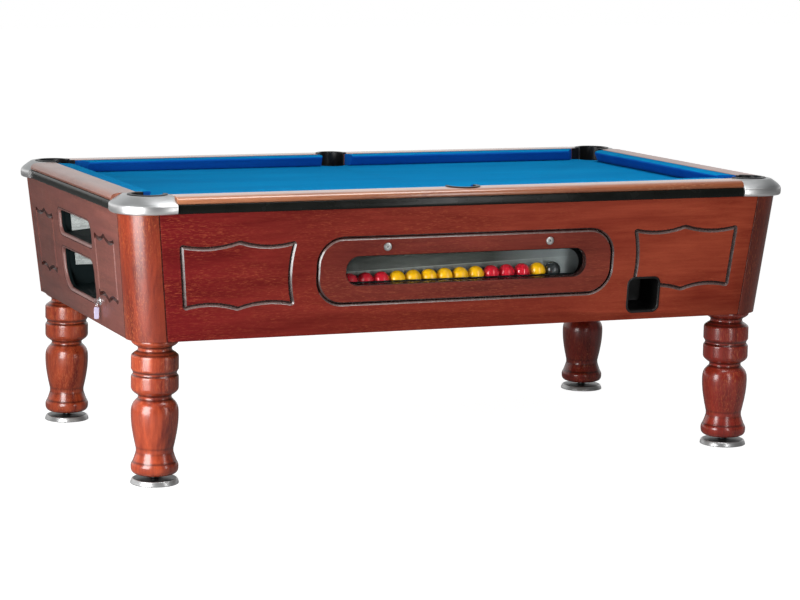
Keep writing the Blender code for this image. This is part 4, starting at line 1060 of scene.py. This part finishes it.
def bootOutline(radius, p):
    top, under = table["railTop"] + p["lipHigh"], table["railTop"] + table["gap"]
    inner, lip, low = radius - p["wall"], radius + p["lip"], table["slateLow"] - p["drop"]
    return [
        (inner, under - 0.001), (inner + 0.0003, top - 0.0012), (inner + 0.0012, top - 0.0003),
        (inner + 0.0025, top), (lip - 0.0030, top), (lip - 0.0012, top - 0.0004),
        (lip - 0.0003, top - 0.0013), (lip, under + 0.0006), (lip - 0.0005, under), (radius, under),
        (radius, low), (inner + 0.0006, low), (inner, low + 0.0006), (inner, under - 0.001),
    ]


def bootCheeks(x, y, radius, sx, sy, p):
    # flat walls from the boot to the ends of the two cushions
    faceX, faceY = (table[key] - table["railWood"] - table["gap"] for key in ("bandX", "bandY"))
    endX, endY = (table[key] - p["jaw"] + p["clear"] for key in ("bandX", "bandY"))
    wallX, wallY = abs(x) - radius + p["wall"] / 2, abs(y) - radius + p["wall"] / 2
    low, high = table["bed"] + p["clear"], table["railTop"] - table["gap"]
    cheeks = []
    boxes = ((endX, faceY - p["cheek"]), (wallX, faceY)), ((faceX - p["cheek"], endY), (faceX, wallY))
    for near, far in boxes:
        xs, ys = sorted((sx * near[0], sx * far[0])), sorted((sy * near[1], sy * far[1]))
        cheeks.append((boxMesh((xs[0], ys[0], low), (xs[1], ys[1], high)), pocketRubber))
    return cheeks


def makeBoots(p):
    for name, (x, y, radius) in pockets.items():
        mesh = turnedMesh(bootOutline(radius, p), 64, pocketRubber, (x, y, 0.0))
        if name in corners:
            sx, sy = corners[name]
            towards, start = math.atan2(-sy, -sx), p["cornerMouth"]
            cheeks = bootCheeks(x, y, radius, sx, sy, p)
        else:
            towards, start = math.radians(90.0 if y < 0 else -90.0), p["middleMouth"]
            cheeks = []
        low, high = (start, -p["half"], table["bed"] - p["floor"]), (p["mouthEnd"], p["half"], p["mouthTop"])
        mouth = boxMesh(low, high)
        mouth.transform(Matrix.Translation((x, y, 0.0)) @ Matrix.Rotation(towards, 4, "Z"))
        mesh = carve(mesh, [pocketRubber], [(mouth, pocketRubber)], cheeks)
        dress(name + "PocketBoot", mesh, name + "_pocket_liner", angle=40.0)


makeBoots(bootSettings)
print("pocket boots made")


# cushions: rubber under stretched cloth, tucked in at the rail
cushionSettings = {
    "cornerJaw": (0.166, 0.203), "middleJaw": (0.0445, 0.054), "slices": 36, "endRound": 0.0022,
    "endSteps": [0.0, 0.0004, 0.0015, 0.004], "crown": 0.0003, "crownAbove": 0.842, "rubbedAndShaded": 0.55,
    "outline": [(0.0853, 0.8081), (0.1120, 0.8086), (0.1175, 0.8100), (0.1230, 0.8165), (0.1305, 0.8280),
                (0.1352, 0.8345), (0.1368, 0.8372), (0.1370, 0.8392), (0.1364, 0.8410), (0.1345, 0.8432),
                (0.1310, 0.8446), (0.1240, 0.8455), (0.1100, 0.8457), (0.0960, 0.8455), (0.0890, 0.8449),
                (0.0862, 0.8440), (0.0853, 0.8425)],
}


def cushionMesh(side, start, end, p):
    outline = smoothLine(p["outline"], 3)
    middle = Vector((sum(a for a, _ in outline) / len(outline), sum(b for _, b in outline) / len(outline)))
    span = table["nose"] - table["railWood"]
    rings = []
    steps = p["endSteps"] + [0.004 + 0.992 * i / p["slices"] for i in range(1, p["slices"])]
    for step in steps + [0.996, 0.9985, 0.9996, 1.0]:
        nearEnd = min(step, 1.0 - step) * abs(end[0] - start[0])
        pull = 1.0 - min(1.0, nearEnd / p["endRound"])
        pull = p["endRound"] * (1.0 - math.sqrt(max(0.0, 1.0 - pull * pull)))  # cloth folded round the end
        crown = p["crown"] * math.sin(math.pi * step) ** 2
        ring = []
        for inset, z in outline:
            away = Vector((inset, z)) - middle
            deep, height = Vector((inset, z)) - away.normalized() * min(pull, away.length * 0.5)
            share = min(max((deep - table["railWood"]) / span, 0.0), 1.0)
            first, last = start[0] + (start[1] - start[0]) * share, end[0] + (end[1] - end[0]) * share
            raised = height + (crown if z > p["crownAbove"] else 0.0)
            ring.append(onRail(side, first + (last - first) * step, deep, raised))
        rings.append(ring)
    return loft(rings)


def makeCushions(p):
    for side in sideTurn:
        reach = table["bandX"] if side in longSides else table["bandY"]
        corner = (reach - p["cornerJaw"][0], reach - p["cornerJaw"][1])
        away = (-corner[0], -corner[1])
        near = p["middleJaw"]
        runs = {f"{side}_cushion": (away, corner)}
        if side in longSides:  # seen from outside, the back's right half comes first
            names = ("left", "right") if side == "front" else ("right", "left")
            ends = ((away, (-near[0], -near[1])), (near, corner))
            runs = {f"{side}_{half}_cushion": pair for half, pair in zip(names, ends)}
        for node, (start, end) in runs.items():
            mesh = cushionMesh(side, start, end, p)
            piece = dress(node + "Cloth", mesh, node, [blueBaize, shadedCushionBaize], 60.0)
            for face in piece.data.polygons:  # painted shade: the face under the nose takes a darker, more violet copy of the cloth than the top
                face.material_index = 0 if face.normal.z > p["rubbedAndShaded"] else 1


makeCushions(cushionSettings)
print("cushions made")


# the bed's cloth, stretched over the slate and turned down into the pockets
clothSettings = {"half": (1.004, 0.559), "corner": 0.02, "thick": 0.002, "turn": 0.0015, "hole": 0.002}


def makeCloth(p):
    top = table["bed"]
    plate = slab(softBox((0.0, 0.0), p["half"], p["corner"], 6), top - p["thick"], top)
    levels = [(top - depth, wider) for depth, wider in roundOver(p["turn"], 4)]
    levels = [(top + 0.004, p["turn"])] + levels + [(top - 0.01, 0.0)]
    cuts = []
    for x, y, radius in pockets.values():
        rings = levelRings(lambda wider: circle((x, y), radius + p["hole"] + wider, 64), levels)
        cuts.append((loft(rings[::-1]), blueBaize))
    piece = dress("bedBaize", carve(plate, [blueBaize], cuts), "bed_cloth", angle=50.0)


makeCloth(clothSettings)
print("bed cloth made")


# window door and its cam locks
def makeDoor(w):
    halfX, halfY, corner = w["pane"]
    middle = (0.0, upSlope(w["height"]))
    pane = mouthMesh(lambda wider: softBox(middle, (halfX + wider, halfY + wider), corner + wider, 14),
                     w["paneEdge"], table["through"])
    # painted shade: the pane's reveal is dark
    cuts = [(coveMesh(panelSettings), grooveStain), (pane, (seamStainAndRevealShade,) * 3)]
    cuts += [lockHole(side * w["lockX"], w["lockZ"]) for side in (-1, 1)]
    mesh = carve(slab(windowLine(w["gap"]), -table["panel"], 0.0), [doorWood, seamStainAndRevealShade], cuts, folded=True)
    paintGrooveHighlights(mesh)
    dress("windowDoorLeaf", mesh, "window_door", angle=30.0, place=sideFrame("front"))


# a black edging clipped over the tray's front wall, level along the window
edgingSettings = {"half": 0.4165, "outer": -0.5636, "inner": -0.5610, "low": 0.545, "high": 0.5755}


def makeEdging(p):
    middle, radius = (p["outer"] + p["inner"]) / 2, (p["inner"] - p["outer"]) / 2
    section = [(p["outer"], p["low"])] + arc((middle, p["high"] - radius), radius, 180.0, 0.0, 8)
    section += [(p["inner"], p["low"])]
    rings = [[(x, y, z) for y, z in section] for x in (-p["half"], p["half"])]
    dress("trayFrontEdging", loft(rings), None, [shadowPaint])


makeEdging(edgingSettings)

lockSettings = {
    "face": 0.0125, "thick": 0.0035, "plug": 0.0062, "slot": (0.0011, 0.0040), "slotDeep": 0.0030,
    "pin": 0.0021, "barrel": 0.009, "rear": -0.0245, "blade": 0.0215, "front": 0.01,
}


def tongueMesh(reach, low, high):
    return slab(softBox((reach / 2, 0.0), (reach / 2, 0.005), 0.0035, 5), low, high)


def lockMesh(p, tongue):
    face, thick, plug = p["face"], p["thick"], p["plug"]
    barrel, rear, bottom = p["barrel"], p["rear"], thick - p["slotDeep"]
    outline = [
        (0.0, thick - 0.0005), (plug - 0.0004, thick - 0.0005), (plug, thick - 0.0008),
        (plug + 0.0002, thick - 0.0010), (plug + 0.0005, thick - 0.0003), (plug + 0.0010, thick),
        (face - 0.0016, thick), (face - 0.0006, thick - 0.0004), (face - 0.0001, thick - 0.0013),
        (face, 0.0003), (barrel, 0.0003), (barrel, rear + 0.001), (barrel - 0.001, rear), (0.0, rear),
    ]
    slot = boxMesh((-p["slot"][0], -p["slot"][1], bottom), (*p["slot"], p["front"]))
    pin = rodMesh(p["pin"], bottom, p["front"], 20)
    blade = tongueMesh(tongue, rear, -p["blade"])
    cuts = [(slot, keyholeBlack), (pin, keyholeBlack)]
    return carve(turnedMesh(outline, 48, satinNickel), [satinNickel], cuts, [(blade, turnedSteel)])


def makeLocks(w, p):
    for name, side, turn in (("left", -1, 0.0), ("right", 1, math.pi)):
        place = Matrix.Translation((side * w["lockX"], upSlope(w["lockZ"]), 0.0))
        dress(name + "WindowCamLock", lockMesh(p, w["tongue"]), name + "_window_lock", angle=30.0,
              place=sideFrame("front") @ place @ Matrix.Rotation(turn, 4, "Z"))


makeDoor(windowSettings)
makeLocks(windowSettings, lockSettings)
print("window door and locks made")


# object balls as they lie behind the window
ballSettings = {
    "radius": 0.0254, "segments": 40, "start": -0.4056, "y": -0.535, "height": 0.578, "slope": 0.0168,
    "order": "rrrryyyyyyrrryb", "lift": 0.0001, "smaller": 0.00005,
}


def makeBalls(p):
    kinds = ("r", "redBalls", redResin), ("y", "yellowBalls", yellowResin), ("b", "blackBall", blackResin)
    for key, name, finish in kinds:
        spots = []
        for index, tone in enumerate(p["order"]):
            x = p["start"] + 2 * p["radius"] * index
            if tone == key:
                spots.append((x, p["y"], p["height"] + p["slope"] * x + p["lift"]))
        values = {"Radius": p["radius"] - p["smaller"], "Segments": p["segments"], "Finish": finish}
        dress(name, grow(ballRow, spots, values), "object_balls", angle=180.0)


makeBalls(ballSettings)
print("balls made")


# moulded cup for the cue ball
def makeCup(c):
    back = -c["deep"]
    section = [  # (growth, depth) from the floor over the rim and back along the outside
        (-0.010, back), (-0.004, back + 0.0006), (-0.0008, back + 0.004), (0.0, back + 0.008), (0.0, -0.003),
        (0.0004, -0.0008), (0.0014, 0.0010), (0.0028, 0.0018), (0.0045, 0.0020), (0.0062, 0.0017),
        (0.0074, 0.0011), (0.0080, 0.0003), (0.0030, 0.0003), (0.0030, back - 0.002), (0.0010, back - 0.003),
    ]
    rings = levelRings(cupLine, [(z, wider) for wider, z in section])
    place = sideFrame("front")
    dress("cueBallCupMoulding", loft(rings), "cue_ball_cup", [cupPlastic], 40.0, place)


makeCup(cupSettings)
print("cue-ball cup made")


# end lock, its key and the tag on it
keySettings = {
    "x": 0.243, "z": 0.500, "bore": 0.0055, "barrel": 0.009, "behind": 0.004,
    "plug": 0.005, "plugHigh": (0.0085, 0.0079), "tongue": 0.034,
    "bow": (0.0095, 0.006, 0.019), "bowRound": [0.001, 0.001, 0.006, 0.006], "bowHalf": 0.001,
    "eye": 0.003, "hole": (-0.0035, 0.0125), "ring": 0.0065, "wire": 0.0008, "tag": (0.015, 0.036, 0.0015),
    "tagRound": 0.004, "tagEdge": (0.0004, 0.0005),
}


def makeKey(p, place, rear):
    plug, (high, rim) = p["plug"], p["plugHigh"]
    outline = [(0.0, high), (plug - 0.0006, high), (plug, rim), (plug, rear - 0.005), (0.0, rear - 0.005)]
    half, low, top = p["bow"]
    bowLine = softBox((0.0, (low + top) / 2), (half, (top - low) / 2), p["bowRound"], 8)
    bow = loft([[(x, a, b) for a, b in bowLine] for x in (-p["bowHalf"], p["bowHalf"])])
    cam = tongueMesh(p["tongue"], rear - 0.0045, rear - 0.0015)
    eye = rodMesh(p["eye"], -0.01, 0.01, 24)
    eye.transform(Matrix.Translation((0.0, *p["hole"])) @ Matrix.Rotation(math.radians(90), 4, "Y"))
    joins = [(bow, brightChrome), (cam, turnedSteel)]
    key = carve(turnedMesh(outline, 32, brightChrome), [brightChrome], [], joins)
    key = carve(key, [brightChrome, turnedSteel], [(eye, brightChrome)])
    dress("endLockKey", key, "lock_key", angle=30.0, place=place)


def makeTag(p, place):
    hole = (place @ Matrix.Translation((0.0, *p["hole"]))).translation
    hang = Matrix.Translation(hole) @ Matrix.Rotation(math.radians(-90), 4, "Z")
    loop = [(a, 0.0, b - p["ring"]) for a, b in arc((0.0, 0.0), p["ring"], 90.0, 450.0, 40)[:-1]]
    values = {"Radius": p["wire"], "Sides": 10, "Blunt": 0.0, "Finish": brightChrome}
    wire = grow(routerPath, loop, values, ring=True)
    width, height, thick = p["tag"]
    deep, wide = p["tagEdge"]
    top = -2 * p["ring"] + 0.001
    rings = []
    levels = (-thick / 2, wide), (-thick / 2 + deep, 0.0), (thick / 2 - deep, 0.0), (thick / 2, wide)
    for y, inset in levels:
        half = (width / 2 - inset, height / 2 - inset)
        line = softBox((0.0, top - height / 2), half, p["tagRound"] - inset, 6)
        rings.append([(y, x, z) for x, z in line])
    tag = carve(loft(rings), [tagPlastic], [], [(wire, brightChrome)])
    dress("keyTagLabel", tag, "key_tag", place=hang)


def makeEndLock(p):
    place = sideFrame("left_end") @ Matrix.Translation((p["x"], upSlope(p["z"]), 0.0))
    rear = -(table["panel"] + p["behind"])
    bore, barrel = p["bore"], p["barrel"]
    outline = [
        (bore, 0.0030), (bore + 0.0004, 0.0034), (0.0068, 0.0035), (0.0110, 0.0035), (0.0119, 0.0031),
        (0.0124, 0.0022), (0.0125, 0.0003), (barrel, 0.0003), (barrel, rear), (bore, rear), (bore, 0.0030),
    ]
    collar = turnedMesh(outline, 48, brightChrome)
    dress("endLockCollar", collar, "end_lock", place=place)
    makeKey(p, place, rear)
    makeTag(p, place)


makeEndLock(keySettings)
print("end lock, key and tag made")


# sheet metal and boards keep their solids' shapes, with softened edges
softened = {
    "ball_tray": ("ballTraySheet", "galvanised_steel", [traySheet], 0.0005),
    "ball_runway": ("ballRunwaySheet", "galvanised_steel", [zincSheet], 0.0005),
    "ball_gate": ("ballGateFlap", "galvanised_steel", [zincSheet], 0.0003),
    "coin_mechanism": ("coinMechanismBody", "chrome", [brightChrome], 0.0007),
    "coin_slide": ("coinSlideBar", "chrome", [brightChrome], 0.0006),
    "base_board": ("baseBoardPly", "raw_timber", [rawBoard], 0.0012),
    "left_bed_bearer": ("leftBearerBeam", "raw_timber", [rawBoard], 0.0015),
    "right_bed_bearer": ("rightBearerBeam", "raw_timber", [rawBoard], 0.0015),
    "end_compartments": ("endCompartmentSheet", "galvanised_steel", [zincSheet, shadowPaint], 0.0005),
}

# the boxes behind the end panel are bare zinc, with painted shade making them black at the mouth, on the
# shelf and in the trough
boxSettings = {"mouth": -0.040, "trough": 0.555, "shelf": 0.662, "shelfHalf": 0.02}


def softenedMesh(node, width, splits=()):
    bm = bmesh.new()
    bm.from_mesh(nodes[node].data)
    bmesh.ops.remove_doubles(bm, verts=bm.verts, dist=1e-6)
    bmesh.ops.dissolve_limit(bm, angle_limit=math.radians(0.5), verts=bm.verts, edges=bm.edges)
    pairs = [edge for edge in bm.edges if len(edge.link_faces) == 2]
    edges = [edge for edge in pairs if edge.calc_face_angle() > math.radians(30)]
    bmesh.ops.bevel(bm, geom=edges, offset=width, segments=2, profile=0.5, affect="EDGES", clamp_overlap=True)
    for point, normal in splits:
        every = bm.verts[:] + bm.edges[:] + bm.faces[:]
        bmesh.ops.bisect_plane(bm, geom=every, dist=1e-6, plane_co=point, plane_no=normal)
    mesh = bpy.data.meshes.new(node)
    bm.to_mesh(mesh)
    bm.free()
    return mesh


def boxFinishes(mesh, p):
    toFace = sideFrame("left_end").inverted()
    for face in mesh.polygons:
        atMouth = (toFace @ face.center).z > p["mouth"]
        onShelf = face.normal.z > 0.7 and abs(face.center.z - p["shelf"]) < p["shelfHalf"]
        face.material_index = 1 if atMouth or onShelf or face.center.z < p["trough"] else 0


def makeSheets(p):
    end = sideFrame("left_end")
    outwards = end.to_3x3() @ Vector((0.0, 0.0, 1.0))
    mouthPoint = end @ Vector((0.0, 0.0, p["mouth"]))
    boxSplits = [(mouthPoint, outwards), ((0.0, 0.0, p["trough"]), (0.0, 0.0, 1.0))]
    for node, (name, slot, finishes, width) in softened.items():
        isBox = node == "end_compartments"
        mesh = softenedMesh(node, width, boxSplits if isBox else ())
        paint(mesh, finishes)
        if isBox:
            boxFinishes(mesh, p)
        dress(name, mesh, node)


makeSheets(boxSettings)
for node, finish in {"slate_bed": sawnSlate, "window_glass": paneGlass}.items():
    paint(nodes[node].data, [finish])
print("sheet metal and boards made")


# floor, world and studio light
lightSettings = {
    "softboxes": {
        "left": {"place": (-2.35, -1.35, 0.85), "aim": (-0.95, -0.5, 0.6), "size": (1.1, 1.7), "power": 68.0},
        "right": {"place": (0.75, -2.4, 0.9), "aim": (0.4, -0.6, 0.6), "size": (0.26, 1.8), "power": 11.0},
        "strip": {"place": (0.45, -0.85, 3.0), "aim": (0.45, -0.85, 0.0), "size": (1.4, 1.2), "power": 46.0},
        "top": {"place": (0.0, -0.3, 4.0), "aim": (0.0, -0.3, 0.0), "size": (6.0, 5.0), "power": 28.0},
    },
    "fill": 0.17, "room": 0.10, "backdrop": 0.90, "floorTone": 0.25, "floorGlow": 0.97, "mirrored": 0.11,
    "floorHalf": 30.0, "floorDrop": 0.0002,
}


def raysOf(tree):
    # camera rays, and the rays that mirrors and glass send on
    rays = put(tree, "ShaderNodeLightPath").outputs
    return rays["Is Camera Ray"], calc("MAXIMUM", rays["Is Glossy Ray"], rays["Is Transmission Ray"])


def makeWorld(p):
    stage.world = bpy.data.worlds.new("studio")
    stage.world.use_nodes = True
    tree = stage.world.node_tree
    way = axesOf(put(tree, "ShaderNodeTexCoord").outputs["Generated"])
    behind = minus(way[1], times(way[2], 0.45))
    backdrop = spread(behind, -0.1, 0.6, p["room"], p["backdrop"])  # pale sweep behind, dim room in front
    camera, mirrors = raysOf(tree)
    seen = out(tree, "ShaderNodeMix", {0: mirrors, 2: p["fill"], 3: backdrop})
    glow = out(tree, "ShaderNodeMix", {0: camera, 2: seen, 3: 1.0})
    fill(tree.nodes["Background"], {"Color": (1.0, 1.0, 1.0), "Strength": glow})


def makeFloor(p):
    bm = bmesh.new()
    bmesh.ops.create_grid(bm, x_segments=1, y_segments=1, size=p["floorHalf"])
    mesh = bpy.data.meshes.new("floor")
    bm.to_mesh(mesh)
    bm.free()
    paper = bpy.data.materials.new("palePaper")
    paper.use_nodes = True
    tree = paper.node_tree
    tree.nodes.clear()
    camera, mirrors = raysOf(tree)
    # the paper glows fully for the camera and by a share in mirrors and glass
    seen = calc("MAXIMUM", camera, times(mirrors, p["mirrored"]))
    shine = out(tree, "ShaderNodeEmission", {"Strength": times(seen, p["floorGlow"])})
    matt = out(tree, "ShaderNodeBsdfDiffuse", {"Color": (p["floorTone"],) * 3})
    both = out(tree, "ShaderNodeAddShader", {0: matt, 1: shine})
    put(tree, "ShaderNodeOutputMaterial", {"Surface": both})
    mesh.materials.append(paper)
    floor = link("floor", mesh)
    floor.location.z = -p["floorDrop"]


def makeLamps(p):
    for name, spot in p["softboxes"].items():
        light = bpy.data.lights.new(name + "Softbox", "AREA")
        light.shape = "RECTANGLE"
        light.size, light.size_y = spot["size"]
        light.energy = spot["power"]
        made = link(name + "Softbox", light)
        made.location = spot["place"]
        aim = Vector(spot["aim"]) - Vector(spot["place"])
        made.rotation_euler = aim.to_track_quat("-Z", "Y").to_euler()
        made.visible_camera = False


makeWorld(lightSettings)
makeFloor(lightSettings)
makeLamps(lightSettings)
stage.view_settings.view_transform = "Standard"
print("floor and lights ready")
